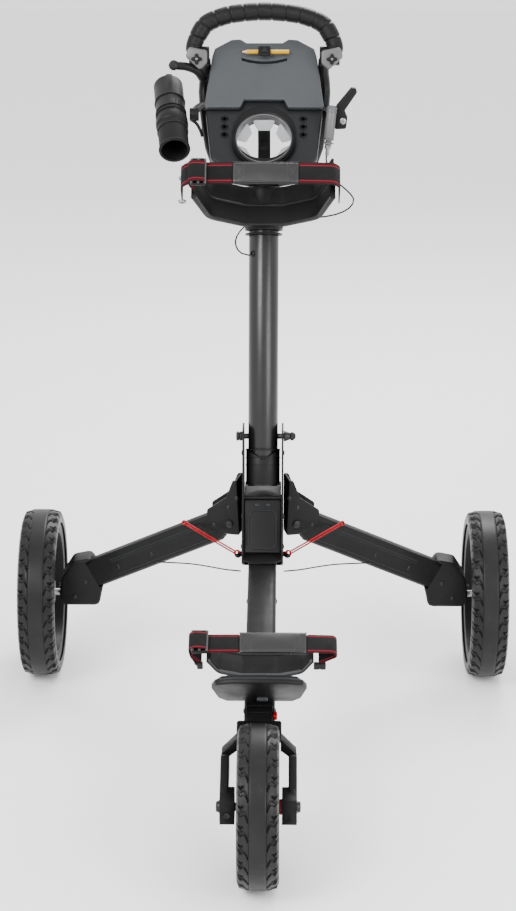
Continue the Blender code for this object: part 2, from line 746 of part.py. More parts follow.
def build_bag_rest(looks):
    """The foot of the bag stands on this plate, square to the bag's lean."""
    half = [
        (0, -0.010), (0.048, -0.010), (0.060, 0.008), (0.068, 0.060), (0.062, 0.084),
        (0.040, 0.092), (0, 0.093),
    ]
    outline = mirrored([half[0], *fillet(half[1:-1], 0.008, 2, False), half[-1]])
    place = across_frame(0.6035, 0.2135, BAG_LEAN)
    plate = add("bag_rest", plate_mesh([outline], 0.008, 0.002), place, looks["black_plastic"])
    rim = [
        (-0.060, 0.058), (-0.052, 0.080), (-0.036, 0.0865), (0.036, 0.0865), (0.052, 0.080),
        (0.060, 0.058),
    ]
    lip_place = place @ Matrix.Translation((0, 0, -0.0060))
    join(plate, "bag_rest_lip", plate_mesh([band_outline(rim, 0.005)], 0.007), lip_place)
    foot_place = lower_tube_frame(0.497, -LOWER_TUBE_H / 2 - 0.0101)
    join(plate, "bag_rest_foot", box_mesh((0.040, 0.020, 0.030)), foot_place)
    cut(plate, add("bag_rest_tube_room", tube_room_mesh(), lower_tube_frame(LOWER_TUBE_LENGTH / 2)))
    smooth(plate)


# Bag cradles and straps


def saddle_path(half_width, depth, floor_half, corner, steps=4):
    """A wide shallow U, symmetric about its centre line."""
    half = [(floor_half, 0), (half_width * 0.80, depth * 0.27), (half_width, depth)]
    right = fillet([(0, 0), *half], corner, steps, False)[1:]
    return [(-x, y) for x, y in reversed(right)] + right


def build_upper_saddle(looks, parent):
    """The wide U that the top of the bag leans into, with a trussed rib under it."""
    place = across_frame(*UPPER_SADDLE, BAG_LEAN)
    path = saddle_path(0.108, 0.100, 0.030, 0.030)
    band = plate_mesh([band_outline(path, 0.009)], 0.036, 0.0015)
    saddle = add("upper_saddle", band, place, looks["black_plastic"], parent)
    rib = mirrored(
        [
            (0, -0.0300), (0.022, -0.0300), (0.034, -0.0200), (0.080, 0.006), (0.086, 0.020),
            (0.060, 0.0090), (0, -0.002),
        ]
    )
    join(saddle, "saddle_rib", plate_mesh([rib], 0.010), place)
    for side in (-1, 1):
        window = [(side * 0.036, -0.0100), (side * 0.058, 0.0020), (side * 0.036, -0.0035)]
        cut(saddle, add("saddle_window", plate_mesh([window], 0.05), place))
    collar_room = rod_mesh(COLLAR_R + GAP, 0.9, 28)
    cut(saddle, add("saddle_collar_room", collar_room, tube_axis_frame(0.0)))
    smooth(saddle)


def build_upper_strap(looks, parent):
    """Webbing on both sides of a padded middle, with a slider on the left."""
    place = across_frame(*UPPER_SADDLE, BAG_LEAN) @ Matrix.Translation((0, 0, -0.009))
    line = 0.133
    left = [(-0.0480, line), (-0.118, line - 0.002), (-0.1270, line - 0.016), (-0.1270, 0.070)]
    right = [(0.0560, line), (0.110, line - 0.002), (0.1185, line - 0.014), (0.1185, 0.066)]
    for name, path in (("upper_strap_left", left), ("upper_strap_right", right)):
        band = band_outline(fillet(path, 0.008, 2, False), WEB_T)
        smooth(add(name, plate_mesh([band], WEB_W), place, looks["webbing"], parent))
    pad_place = place @ Matrix.Translation((0.0040, line, 0))
    pad = plate_mesh([rounded_rectangle(0.1034, 0.008, 0.002, 2)], 0.036, 0.001)
    smooth(add("upper_pad", pad, pad_place, looks["leatherette"], parent))
    buckle_frame(place, "upper_buckle", (-0.100, line + 0.0040), looks, parent, (0.026, 0.046))


def buckle_frame(place, name, centre, looks, parent, size):
    """A three-bar slider lying on the face of a strap."""
    span, height = size
    slot = rounded_rectangle(span * 0.22, height * 0.78, 0.002, 1)
    slots = [[(x + side * span * 0.21, y) for x, y in slot] for side in (-1, 1)]
    flat = place @ Matrix.Translation((*centre, 0)) @ Matrix.Rotation(-pi / 2, 4, "X")
    mesh = plate_mesh([rounded_rectangle(span, height, 0.004, 2), *slots], 0.0036)
    smooth(add(name, mesh, flat, looks["black_plastic"], parent))


def build_lower_saddle(looks):
    """The small U on the lower tube, on a block that wraps the tube's top."""
    place = across_frame(*LOWER_SADDLE, LOWER_SADDLE_LEAN)
    path = saddle_path(0.075, 0.036, 0.027, 0.014)
    band = plate_mesh([band_outline(path, 0.008)], 0.040, 0.0012)
    saddle = add("lower_saddle", band, place, looks["wing_grey"])
    block = fillet(
        [
            (-0.0285, -0.030), (0.0285, -0.030), (0.0285, 0.000), (0.0235, 0.004),
            (-0.0235, 0.004), (-0.0285, 0.000),
        ],
        0.003,
        2,
    )
    join(saddle, "saddle_block", plate_mesh([block], 0.052), place)
    cut(saddle, add("lower_saddle_tube_room", tube_room_mesh(), lower_tube_frame(LOWER_TUBE_LENGTH / 2)))
    smooth(saddle)


def build_lower_strap(looks):
    """The lower strap: webbing, a stitched pad and a slider on the left."""
    place = across_frame(*LOWER_SADDLE, LOWER_SADDLE_LEAN)
    line = 0.054
    left = [(-0.0313, line), (-0.094, line - 0.001), (-0.1020, line - 0.012), (-0.0860, 0.026)]
    right = [(0.0690, line), (0.108, line - 0.001), (0.1130, line - 0.010), (0.0860, 0.026)]
    for name, path in (("lower_strap_left", left), ("lower_strap_right", right)):
        band = band_outline(fillet(path, 0.006, 2, False), WEB_T)
        smooth(add(name, plate_mesh([band], LOWER_WEB_W), place, looks["webbing"]))
    pad_place = place @ Matrix.Translation((0.01885, line, 0))
    pad = plate_mesh([rounded_rectangle(0.0997, 0.009, 0.002, 2)], 0.038, 0.001)
    smooth(add("lower_pad", pad, pad_place, looks["leatherette"]))
    buckle_frame(place, "lower_buckle", (-0.088, line + 0.0040), looks, None, (0.027, 0.036))


# Upper frame


def tube_axis_frame(distance):
    """Local Z runs up the upper tube; the origin is this far up it from the fold pin."""
    along = Vector((0, cos(UPPER_TUBE_LEAN), sin(UPPER_TUBE_LEAN)))
    return axis_frame(at(0, *FOLD_PIN) + along * distance, along)


def build_upper_tube(looks, parent):
    """The round tube, the plastic sleeve on its tail and the collar on its head."""
    inner = UPPER_TUBE_R - UPPER_TUBE_WALL
    profile = [
        (UPPER_TUBE_R, TUBE_TOP), (UPPER_TUBE_R, -TUBE_TAIL), (inner, -TUBE_TAIL), (inner, TUBE_TOP),
    ]
    place = tube_axis_frame(0)
    tube = add("upper_tube", turned_mesh(profile, 32, ring=True), place, looks["black_paint"], parent)
    bore = rod_mesh(FOLD_PIN_R + GAP, 0.09, 16)
    cut(tube, add("tube_pin_bore", bore, axis_frame(at(0, *FOLD_PIN), RIGHT)))
    entry_place = tube_axis_frame(0.292) @ Matrix.Translation((-UPPER_TUBE_R, 0, 0))
    entry = rod_mesh(0.0040, 0.03, 12)
    cut(tube, add("tube_cable_entry", entry, entry_place @ Matrix.Rotation(pi / 2, 4, "Y")))
    smooth(tube)

    bore_r = UPPER_TUBE_R + GAP
    sleeve_r, low, high = 0.0272, -TUBE_TAIL + 0.002, -0.020
    sleeve = [(sleeve_r, high), (sleeve_r, low), (bore_r, low), (bore_r, high)]
    tail_mesh = turned_mesh(sleeve, 32, ring=True)
    tail = add("tube_sleeve", tail_mesh, place, looks["black_plastic"], parent)
    notch = [(-0.040, 0.012), (0, -0.012), (0.040, 0.012), (0.040, 0.030), (-0.040, 0.030)]
    notch_place = lean_frame(*FOLD_PIN, UPPER_TUBE_LEAN) @ Matrix.Translation((0, -0.026, 0.022))
    cut(tail, add("sleeve_notch", plate_mesh([notch], 0.040), notch_place))
    smooth(tail)

    low, high = 0.330, 0.348
    collar = [(COLLAR_R, high), (COLLAR_R, low), (bore_r, low), (bore_r, high)]
    collar_mesh = turned_mesh(collar, 32, ring=True)
    smooth(add("upper_collar", collar_mesh, place, looks["black_plastic"], parent))


def yoke_line():
    """The middle of the yoke's bar, from the centre line up to the right handle pivot."""
    return [
        at(0.0, -0.018, 0.842), at(0.045, -0.020, 0.845), at(0.078, -0.030, 0.870),
        at(0.0920, -0.050, 0.920), at(0.0980, -0.086, 0.974), at(0.0952, -0.083, 1.006),
        at(KNUCKLE_X - 0.0008, HANDLE_PIVOT[0], 1.030),
    ]


def mirrored_line(right):
    """A line whose right half starts on the centre line, run from far left to far right."""
    left = [Vector((-p.x, p.y, p.z)) for p in reversed(right[1:])]
    return left + right


def build_yoke(looks, parent):
    """Two arms that rise from the tube's head behind the console to the handle pivots."""
    bar = wire_mesh(smooth_points(mirrored_line(yoke_line()), 2), YOKE_R, 2)
    yoke = add("yoke", bar, Matrix(), looks["black_plastic"], parent)
    head = [(0, 0.403), (0.024, 0.400), (0.0265, 0.392), (0.0265, 0.3525), (0, 0.3525)]
    join(yoke, "yoke_head", turned_mesh(head, 24), tube_axis_frame(0))
    for side in (-1, 1):
        place = axis_frame(at(side * KNUCKLE_X, *HANDLE_PIVOT), RIGHT)
        join(yoke, "yoke_knuckle", rod_mesh(0.0155, 0.015, 20), place)
    smooth(yoke)
    add("yoke_room", wire_mesh(smooth_points(mirrored_line(yoke_line()), 2), YOKE_R + GAP, 2), Matrix())


def panel_frame(v=0.0, lift=0.0):
    """The console's face: local X right, local Y up its slope, local Z out of it."""
    forward, up = PANEL_FOOT
    return lean_frame(forward, up, PANEL_LEAN) @ Matrix.Translation((0, v, lift))


def build_console(looks, parent):
    """The console's lower shell with its card well, tee holders, cup ring and cup strap."""
    half = [
        (0, 0.0), (0.070, 0.0), (0.084, 0.012), (0.0930, 0.097), (0.0830, 0.195), (0.076, 0.207),
        (0, 0.207),
    ]
    outline = mirrored([half[0], *fillet(half[1:-1], 0.010, 2, False), half[-1]])
    place = panel_frame(0, -PANEL_T / 2 - 0.0080)
    shell = plate_mesh([outline], PANEL_T - 0.008, 0.003)
    body = add("console_body", shell, place, looks["dark_grey_plastic"], parent)
    cut(body, add("cup_hole", rod_mesh(CUP_OUTER_R + GAP, 0.10, 36), panel_frame(CUP_V)))
    well = plate_mesh([rounded_rectangle(0.136, 0.076, 0.008, 2)], 0.032)
    cut(body, add("card_well", well, panel_frame(0.154)))
    rows = [0.0545, 0.0690, 0.0835]
    holes = [circle((side * 0.0625, row), 0.0034, 8) for side in (-1, 1) for row in rows]
    cut(body, add("tee_holes", plate_mesh(holes, 0.040), panel_frame(0, -0.008)))
    smooth(body)

    top, bottom = 0.002, -0.024
    ring = [(CUP_OUTER_R, top), (CUP_OUTER_R, bottom), (CUP_R, bottom), (CUP_R, top)]
    ring_mesh = turned_mesh(ring, 36, ring=True)
    smooth(add("cup_ring", ring_mesh, panel_frame(CUP_V), looks["silver_plastic"], parent))
    hanger = fillet([(-0.0400, -0.026), (-0.0300, -0.072), (0.0300, -0.072), (0.0400, -0.026)], 0.014, 3, False)
    face = panel_frame().to_3x3()
    hang_place = frame(panel_frame(CUP_V).translation, face.col[1], face.col[2])
    strap = plate_mesh([band_outline(hanger, 0.003)], 0.020)
    smooth(add("cup_strap", strap, hang_place, looks["black_plastic"], parent))


def build_lid(looks, lid_pivot, pencil_pivot):
    """The console's lid, hinged along its top, with the clip that holds the pencil."""
    half = [
        (0, 0.113), (0.032, 0.113), (0.038, 0.0985), (0.0955, 0.0985), (0.0890, 0.150), (0.0838, 0.195),
        (0.0800, 0.209), (0.0530, 0.2260), (0.0385, 0.2270), (0.0290, 0.2200), (0, 0.2200),
    ]
    outline = mirrored([half[0], *fillet(half[1:-1], 0.004, 2, False), half[-1]])
    lid_mesh = plate_mesh([outline], LID_T, 0.0025)
    lid = add("console_lid", lid_mesh, panel_frame(0, -LID_T / 2), looks["grey_plastic"], lid_pivot)
    for height in (0.1905, 0.2050):
        join(lid, "clip_foot", box_mesh((0.018, 0.0030, 0.0150)), panel_frame(height, 0.0040))
    smooth(lid)
    clip = plate_mesh([rounded_rectangle(0.020, 0.018, 0.003, 2)], 0.0030, 0.0008)
    smooth(add("pencil_clip", clip, panel_frame(0.1950, 0.0133), looks["black_plastic"], lid_pivot))
    profile = [(0, 0.0395), (0.0034, 0.0395), (0.0034, -0.028), (0.0008, -0.0385), (0, -0.0390)]
    pencil_place = axis_frame(panel_frame(PENCIL_V, PENCIL_LIFT).translation, RIGHT)
    add("pencil", turned_mesh(profile, 6), pencil_place, looks["pencil_yellow"], pencil_pivot)


def build_pivot_cover(side, name, looks, parent):
    """A rounded triangular cover facing forward over the handle's pivot."""
    corners = [(-0.017, 0.014), (0.013, 0.020), (0.018, 0.004), (-0.005, -0.017), (-0.017, -0.006)]
    outline = [(side * x, y) for x, y in fillet(corners, 0.006, 2)]
    forward, up = HANDLE_PIVOT
    tip_back = radians(14)
    lean = Vector((0, sin(tip_back), cos(tip_back)))
    place = frame(at(side * COVER_X, forward + 0.024, up - 0.002), RIGHT, lean)
    plate = plate_mesh([outline], 0.009, 0.002)
    cover = add(name + "_pivot_cover", plate, place, looks["silver_plastic"], parent)
    knob = rod_mesh(0.0085, 0.010, 14, 0.0070)
    join(cover, name + "_cover_knob", knob, place @ Matrix.Translation((-side * 0.002, 0, 0.007)))
    smooth(cover)


def build_handle(looks, parent):
    """A rubber-sleeved arch between the two pivots."""
    forward, up = HANDLE_PIVOT
    right = [
        at(0.0, -0.0930, 1.1033), at(0.0500, -0.0900, 1.0996), at(0.0800, -0.0860, 1.0914),
        at(0.0950, -0.0830, 1.0831), at(0.1050, -0.0780, 1.0694), at(0.1130, -0.0710, 1.0520),
        at(EYE_X, forward, up + 0.008),
    ]
    arch = wire_mesh(smooth_points(mirrored_line(right), 2), GRIP_R, 2)
    grip = add("handle_grip", arch, Matrix(), looks["grip_rubber"], parent)
    trim_w = 0.040
    for side in (-1, 1):
        eye_place = axis_frame(at(side * EYE_X, forward, up), RIGHT)
        join(grip, "handle_eye", rod_mesh(0.0150, EYE_W, 20), eye_place)
        trim_x = side * (EYE_X - EYE_W / 2 - trim_w / 2)
        trim_place = axis_frame(at(trim_x, forward, up), RIGHT)
        cut(grip, add("handle_trim", rod_mesh(0.0190, trim_w, 20), trim_place))
    smooth(grip)


# Accessories


def umbrella_direction():
    """Out of the holder's mouth: forward, down and a little inwards."""
    return Vector((0.10, -cos(UMBRELLA_DROP), -sin(UMBRELLA_DROP))).normalized()


def build_umbrella(looks, parent, yoke_parent):
    """The umbrella tube and the clamp that holds it to the yoke's left arm."""
    place = axis_frame(at(*UMBRELLA_AXIS), umbrella_direction())
    r = UMBRELLA_R
    profile = [
        (r, 0.083), (r, 0.028), (r + 0.0022, 0.026), (r + 0.0022, 0.014), (r, 0.012),
        (r, -0.074), (r - 0.006, -0.081), (0, -0.082), (0, -0.078), (r - 0.003, -0.076),
        (r - 0.003, 0.083),
    ]
    tube = turned_mesh(profile, 24, ring=True)
    smooth(add("umbrella_tube", tube, place, looks["black_plastic"], parent))

    x, forward, up = UMBRELLA_AXIS
    centre = at(x + 0.036, forward - 0.016, up)
    disc = rod_mesh(0.0105, 0.0145, 18)
    arm = add("umbrella_clamp", disc, axis_frame(centre, RIGHT), looks["black_plastic"], yoke_parent)
    reach = [centre, at(-0.1085, -0.038, 0.955), at(-0.0985, -0.0690, 0.957)]
    join(arm, "clamp_arm", wire_mesh(smooth_points(reach, 3), 0.0065, 2), Matrix())
    cut(arm, bpy.data.objects["yoke_room"])
    smooth(arm)


def build_brake(looks, yoke_parent, lever_pivot):
    """The hand lever on the right, its mount and the cable barrel in front of it."""
    x, forward, up = LEVER_PIVOT
    centre = at(x - 0.0177, forward, up)
    disc = rod_mesh(0.0090, 0.0115, 18)
    mount = add("brake_mount", disc, axis_frame(centre, RIGHT), looks["black_plastic"], yoke_parent)
    reach = [centre, at(0.1080, -0.038, 0.949), at(0.0985, -0.0680, 0.952)]
    join(mount, "mount_arm", wire_mesh(smooth_points(reach, 3), 0.0060, 2), Matrix())
    cut(mount, bpy.data.objects["yoke_room"])
    smooth(mount)

    outline = fillet(
        [
            (-0.0110, -0.0160), (0.0070, -0.0150), (0.0090, 0.0030), (0.0045, 0.0140), (0.0240, 0.0430),
            (0.0215, 0.0500), (0.0145, 0.0505), (-0.0085, 0.0220), (-0.0110, 0.0080),
        ],
        0.003,
        2,
    )
    lever = plate_mesh([outline], 0.0150, 0.002)
    lever_place = frame(at(*LEVER_PIVOT), RIGHT, UP)
    smooth(add("brake_lever", lever, lever_place, looks["black_plastic"], lever_pivot))

    barrel = [
        (0, 0.036), (0.0060, 0.0355), (0.0080, 0.0310), (0.0080, -0.0160), (0.0050, -0.0190),
        (0.0050, -0.0280), (0, -0.0285),
    ]
    barrel_place = axis_frame(at(0.1045, 0.0175, 0.9350), Vector((0.10, 0.12, 1.0)))
    smooth(add("brake_barrel", turned_mesh(barrel, 16), barrel_place, looks["silver_plastic"], yoke_parent))


def cable_route():
    """The brake cable from the barrel, round the saddle's right and left sides, into the tube."""
    return [
        at(0.1015, 0.0212, 0.9055), at(0.0990, 0.0200, 0.8850), at(0.1080, 0.0120, 0.8560),
        at(0.1300, 0.0060, 0.8350), at(0.1440, 0.0020, 0.8180), at(0.1370, -0.0020, 0.8020),
        at(0.1150, -0.0080, 0.7900), at(0.0800, -0.0200, 0.7820), at(0.0300, -0.0400, 0.7760),
        at(-0.0150, -0.0400, 0.7720), at(-0.0330, -0.0200, 0.7660), at(-0.0440, 0.0050, 0.7560),
        at(-0.0450, 0.0150, 0.7440), at(-0.0360, 0.0220, 0.7330), at(-0.0150, 0.0245, 0.7290),
    ]


def build_cables(looks, yoke_parent):
    """The lever's cable and the two wires that run out to the wheels."""
    cable = wire_mesh(smooth_points(cable_route(), 2), 0.0014, 1)
    smooth(add("brake_cable", cable, Matrix(), looks["black_plastic"], yoke_parent))
    for side, name in ((-1, "left"), (1, "right")):
        route = [
            at(side * 0.0345, 0.200, 0.262), at(side * 0.075, 0.175, 0.2545),
            at(side * 0.120, 0.140, 0.2440), at(side * 0.160, 0.105, 0.2330),
            at(side * 0.176, 0.080, 0.2240),
        ]
        wire = wire_mesh(smooth_points(route, 2), 0.0012, 1)
        smooth(add(name + "_brake_wire", wire, Matrix(), looks["steel"]))


def main():
    looks = finishes()
    upper = pivot("upper_fold_pivot", at(0, *FOLD_PIN))
    handle = pivot("handle_pivot", at(0, *HANDLE_PIVOT))
    lid = pivot("lid_pivot", panel_frame(LID_HINGE_V, -LID_T / 2).translation)
    pencil = pivot("pencil_pivot", panel_frame(PENCIL_V, PENCIL_LIFT).translation)
    umbrella = pivot("umbrella_pivot", at(*UMBRELLA_AXIS))
    lever = pivot("lever_pivot", at(*LEVER_PIVOT))
    fork = pivot("fork_pivot", at(0, *NECK_PIVOT))
    front = pivot("front_wheel_pivot", at(0, WHEELBASE, FRONT_WHEEL_R))
    tab = pivot("tab_pivot", at(0.0228, 0.628, 0.195))
    slider = pivot("slider_pivot", at(0, *STRUT_SLIDER_END[1:]))

    build_lower_tube(looks)
    build_hub(looks)
    build_fold_pin(looks)
    build_slider(looks, slider)
    for side, name in ((-1, "left"), (1, "right")):
        centre = at(side * HALF_TRACK, 0, REAR_WHEEL_R)
        leg = pivot(name + "_leg_pivot", leg_axes(side)[2])
        axle = pivot(name + "_wheel_pivot", centre)
        strut = pivot(name + "_strut_pivot", at(side * STRUT_SLIDER_END[0], *STRUT_SLIDER_END[1:]))
        brake = pivot(name + "_brake_pivot", at(side * BRAKE_PIN[0], *BRAKE_PIN[1:]))
        build_wing(side, name, looks)
        build_leg(side, name, looks, leg)
        build_leg_end(side, name, looks, leg)
        build_brake_pin(side, name, looks, brake)
        build_strut(side, name, looks, strut)
        wheel(name, centre, REAR_WHEEL_R, REAR_TYRE_W, looks, axle)

    build_front(looks, fork, tab)
    wheel("front", at(0, WHEELBASE, FRONT_WHEEL_R), FRONT_WHEEL_R, FRONT_TYRE_W, looks, front)
    build_bag_rest(looks)
    build_lower_saddle(looks)
    build_lower_strap(looks)

    build_upper_tube(looks, upper)
    build_upper_saddle(looks, upper)
    build_upper_strap(looks, upper)
    build_yoke(looks, upper)
    build_console(looks, upper)
    build_lid(looks, lid, pencil)
    for side, name in ((-1, "left"), (1, "right")):
        build_pivot_cover(side, name, looks, upper)
    build_handle(looks, handle)
    build_umbrella(looks, umbrella, upper)
    build_brake(looks, upper, lever)
    build_cables(looks, upper)


main()
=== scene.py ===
"""Studio scene of a three-wheel folding golf push cart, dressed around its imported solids.

Metres, +Z up. The front wheel points along -Y, and +X is the right as seen from the front.
"""

from __future__ import annotations

import json
import logging
from dataclasses import dataclass, field
from enum import Enum
from math import ceil, cos, exp, pi, radians, sin, tan
from typing import Callable, Iterable, Sequence

import bmesh
import bpy
import numpy as np
from mathutils import Matrix, Vector
from mathutils.bvhtree import BVHTree

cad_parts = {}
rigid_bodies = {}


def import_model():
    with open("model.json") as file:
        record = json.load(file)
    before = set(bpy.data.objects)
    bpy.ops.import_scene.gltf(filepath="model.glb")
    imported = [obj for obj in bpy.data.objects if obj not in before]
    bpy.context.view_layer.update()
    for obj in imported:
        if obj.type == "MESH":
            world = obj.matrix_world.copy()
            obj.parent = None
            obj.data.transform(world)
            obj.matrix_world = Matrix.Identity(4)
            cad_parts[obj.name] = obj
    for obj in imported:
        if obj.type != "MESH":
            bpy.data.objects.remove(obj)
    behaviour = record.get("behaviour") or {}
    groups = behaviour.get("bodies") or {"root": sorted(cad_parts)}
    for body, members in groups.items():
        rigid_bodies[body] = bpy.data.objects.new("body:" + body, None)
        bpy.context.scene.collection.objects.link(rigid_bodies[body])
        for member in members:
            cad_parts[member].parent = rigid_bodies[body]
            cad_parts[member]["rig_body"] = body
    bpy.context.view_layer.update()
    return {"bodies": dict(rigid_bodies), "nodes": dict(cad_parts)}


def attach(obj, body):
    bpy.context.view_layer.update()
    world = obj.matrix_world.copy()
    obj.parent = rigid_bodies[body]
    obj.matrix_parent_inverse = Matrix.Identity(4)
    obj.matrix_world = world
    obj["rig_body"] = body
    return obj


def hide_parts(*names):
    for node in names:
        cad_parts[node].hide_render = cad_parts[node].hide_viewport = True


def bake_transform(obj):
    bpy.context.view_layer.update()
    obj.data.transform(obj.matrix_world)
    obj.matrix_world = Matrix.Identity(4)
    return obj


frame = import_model()
logging.basicConfig(level=logging.INFO, format="%(message)s")
LOG = logging.getLogger("push_cart")

RIGHT, FORWARD, UP = Vector((1, 0, 0)), Vector((0, -1, 0)), Vector((0, 0, 1))
REAR_AXLE_Y = 0.36675
PIN_FORWARD, PIN_UP = 0.115, 0.454
TUBE_LEAN = radians(72)
CONSOLE_LEAN = radians(48)
UPPER_CRADLE_LEAN = radians(52)
LOWER_CRADLE_LEAN = radians(30)
FOOT_PLATE_LEAN = radians(52)
NECK_SLOPE = radians(11)
SIDES = ((-1, "left"), (1, "right"))
Point2 = tuple[float, float]


# Places


def at(x: float, forward: float, up: float) -> Vector:
    """A point from its distance right, in front of the rear axle and above the ground."""
    return Vector((x, REAR_AXLE_Y - forward, up))


def axes(origin: Vector, x_dir: Vector, y_dir: Vector) -> Matrix:
    """A placement whose local X runs along x_dir and whose local Y leans towards y_dir.

    Args:
        origin: Where its origin lies.
        x_dir: The direction of local X.
        y_dir: A direction on local Y's side of local X.

    Returns:
        The placement, square and of unit size.
    """
    x = x_dir.normalized()
    z = x.cross(y_dir).normalized()
    turned = Matrix((x, z.cross(x), z)).transposed().to_4x4()
    return Matrix.Translation(origin) @ turned


def pointing(origin: Vector, z_dir: Vector) -> Matrix:
    """A placement whose local Z runs along z_dir and whose local X leans right.

    Args:
        origin: Where its origin lies.
        z_dir: The direction of local Z.

    Returns:
        The placement.
    """
    z = z_dir.normalized()
    x = RIGHT - z * RIGHT.dot(z)
    if x.length < 1e-3:
        x = FORWARD - z * FORWARD.dot(z)
    x.normalize()
    return axes(origin, x, z.cross(x))


def across(forward: float, up: float, lean: float) -> Matrix:
    """Local X is right and local Y is square to a line that climbs backwards at this lean."""
    return axes(at(0, forward, up), RIGHT, Vector((0, -sin(lean), cos(lean))))


def shifted(place: Matrix, x: float = 0.0, y: float = 0.0, z: float = 0.0) -> Matrix:
    """The placement moved in its own axes."""
    return place @ Matrix.Translation((x, y, z))


def curve_through(points: Sequence[Vector], per_span: int = 8) -> list[Vector]:
    """A smooth line through given points.

    Args:
        points: The points that it passes through.
        per_span: Steps between one point and the next.

    Returns:
        The line's points, with both ends.
    """
    ends = [points[0] * 2 - points[1], *points, points[-1] * 2 - points[-2]]
    made = []
    for a, b, c, d in zip(ends, ends[1:], ends[2:], ends[3:]):
        for k in range(per_span):
            t = k / per_span
            made.append(
                b + (c - a) * (t / 2) + (a * 2 - b * 5 + c * 4 - d) * (t**2 / 2)
                + (b * 3 - a - c * 3 + d) * (t**3 / 2)
            )
    return [*made, points[-1].copy()]


def evenly(points: Sequence[Vector], step: float) -> list[Vector]:
    """The same line with points about this far apart.

    Args:
        points: The line's points.
        step: The distance wanted between points.

    Returns:
        The new points, with both ends.
    """
    lengths = [0.0]
    for a, b in zip(points, points[1:]):
        lengths.append(lengths[-1] + (b - a).length)
    count = max(2, ceil(lengths[-1] / step))
    made, i = [], 0
    for k in range(count + 1):
        want = lengths[-1] * k / count
        while i < len(points) - 2 and lengths[i + 1] < want:
            i += 1
        part = (want - lengths[i]) / max(lengths[i + 1] - lengths[i], 1e-9)
        made.append(points[i].lerp(points[i + 1], part))
    return made


def fillet(points: Sequence[Point2], radius: float, steps: int = 5, closed: bool = True) -> list[Point2]:
    """A polygon or open line with its corners rounded.

    Args:
        points: The corners.
        radius: The rounding radius, kept under half of each side.
        steps: Steps round each corner.
        closed: False where the ends are not joined.

    Returns:
        The rounded outline.
    """
    made: list[Point2] = []
    count = len(points)
    for i, point in enumerate(points):
        if not closed and i in (0, count - 1):
            made.append(point)
            continue
        here = Vector(point)
        before = Vector(points[i - 1]) - here
        after = Vector(points[(i + 1) % count]) - here
        reach = radius / max(tan(before.angle(after) / 2), 1e-6)
        reach = min(reach, 0.45 * min(before.length, after.length))
        first = here + before.normalized() * reach
        last = here + after.normalized() * reach
        for k in range(steps + 1):
            t = k / steps
            made.append(tuple(first * (1 - t) ** 2 + here * 2 * t * (1 - t) + last * t**2))
    return made


def mirrored(half: Sequence[Point2]) -> list[Point2]:
    """A closed outline from its right half, which starts and ends on the centre line."""
    return list(half) + [(-x, y) for x, y in reversed(half) if abs(x) > 1e-9]


def rounded(width: float, height: float, radius: float, steps: int = 4) -> list[Point2]:
    """A rectangle with round corners."""
    w, h = width / 2, height / 2
    return fillet([(-w, -h), (w, -h), (w, h), (-w, h)], radius, steps)


def ring_of(radius: float, steps: int = 32, centre: Point2 = (0, 0)) -> list[Point2]:
    """A circle as a polygon."""
    turns = [2 * pi * k / steps for k in range(steps)]
    return [(centre[0] + radius * cos(a), centre[1] + radius * sin(a)) for a in turns]


def smoothstep(low: float, high: float, value: float) -> float:
    """0 at low and before it, 1 at high and past it, and smooth between them."""
    t = min(1.0, max(0.0, (value - low) / (high - low)))
    return t * t * (3 - 2 * t)


# Meshes


def mesh_from(verts: Iterable, faces: Iterable, place: Matrix | None = None) -> bpy.types.Mesh:
    """A mesh with outward faces from points and polygons.

    Args:
        verts: The points, in the placement's axes.
        faces: Each face's point numbers.
        place: Where the shape goes; its place ends up in the mesh.

    Returns:
        The mesh, in the object's own axes.
    """
    mesh = bpy.data.meshes.new("shape")
    mesh.from_pydata([tuple(v) for v in verts], [], list(faces))
    if place is not None:
        mesh.transform(place)
    tidy(mesh)
    return mesh


def tidy(mesh: bpy.types.Mesh, merge: float = 1e-6) -> None:
    """Merges doubles and turns every face outwards.

    Args:
        mesh: The mesh, which is changed.
        merge: Points nearer than this become one; 0 leaves them.
    """
    shape = bmesh.new()
    shape.from_mesh(mesh)
    if merge:
        bmesh.ops.remove_doubles(shape, verts=shape.verts, dist=merge)
    bmesh.ops.recalc_face_normals(shape, faces=shape.faces)
    shape.to_mesh(mesh)
    shape.free()


def lathe(profile: Sequence[Point2], steps: int, place: Matrix, ring: bool = False) -> bpy.types.Mesh:
    """A profile of (radius, height) turned about the placement's Z.

    Args:
        profile: The points from one end to the other; on the axis where the shape is solid.
        steps: Faces round the axis.
        place: Where it goes.
        ring: True where the profile closes on itself.

    Returns:
        The closed mesh.
    """
    verts, faces, count = [], [], len(profile)
    for k in range(steps):
        a = 2 * pi * k / steps
        verts += [(r * cos(a), r * sin(a), z) for r, z in profile]
    last = count if ring else count - 1
    for k in range(steps):
        n = (k + 1) % steps
        for i in range(last):
            j = (i + 1) % count
            faces.append((k * count + i, n * count + i, n * count + j, k * count + j))
    return mesh_from(verts, faces, place)


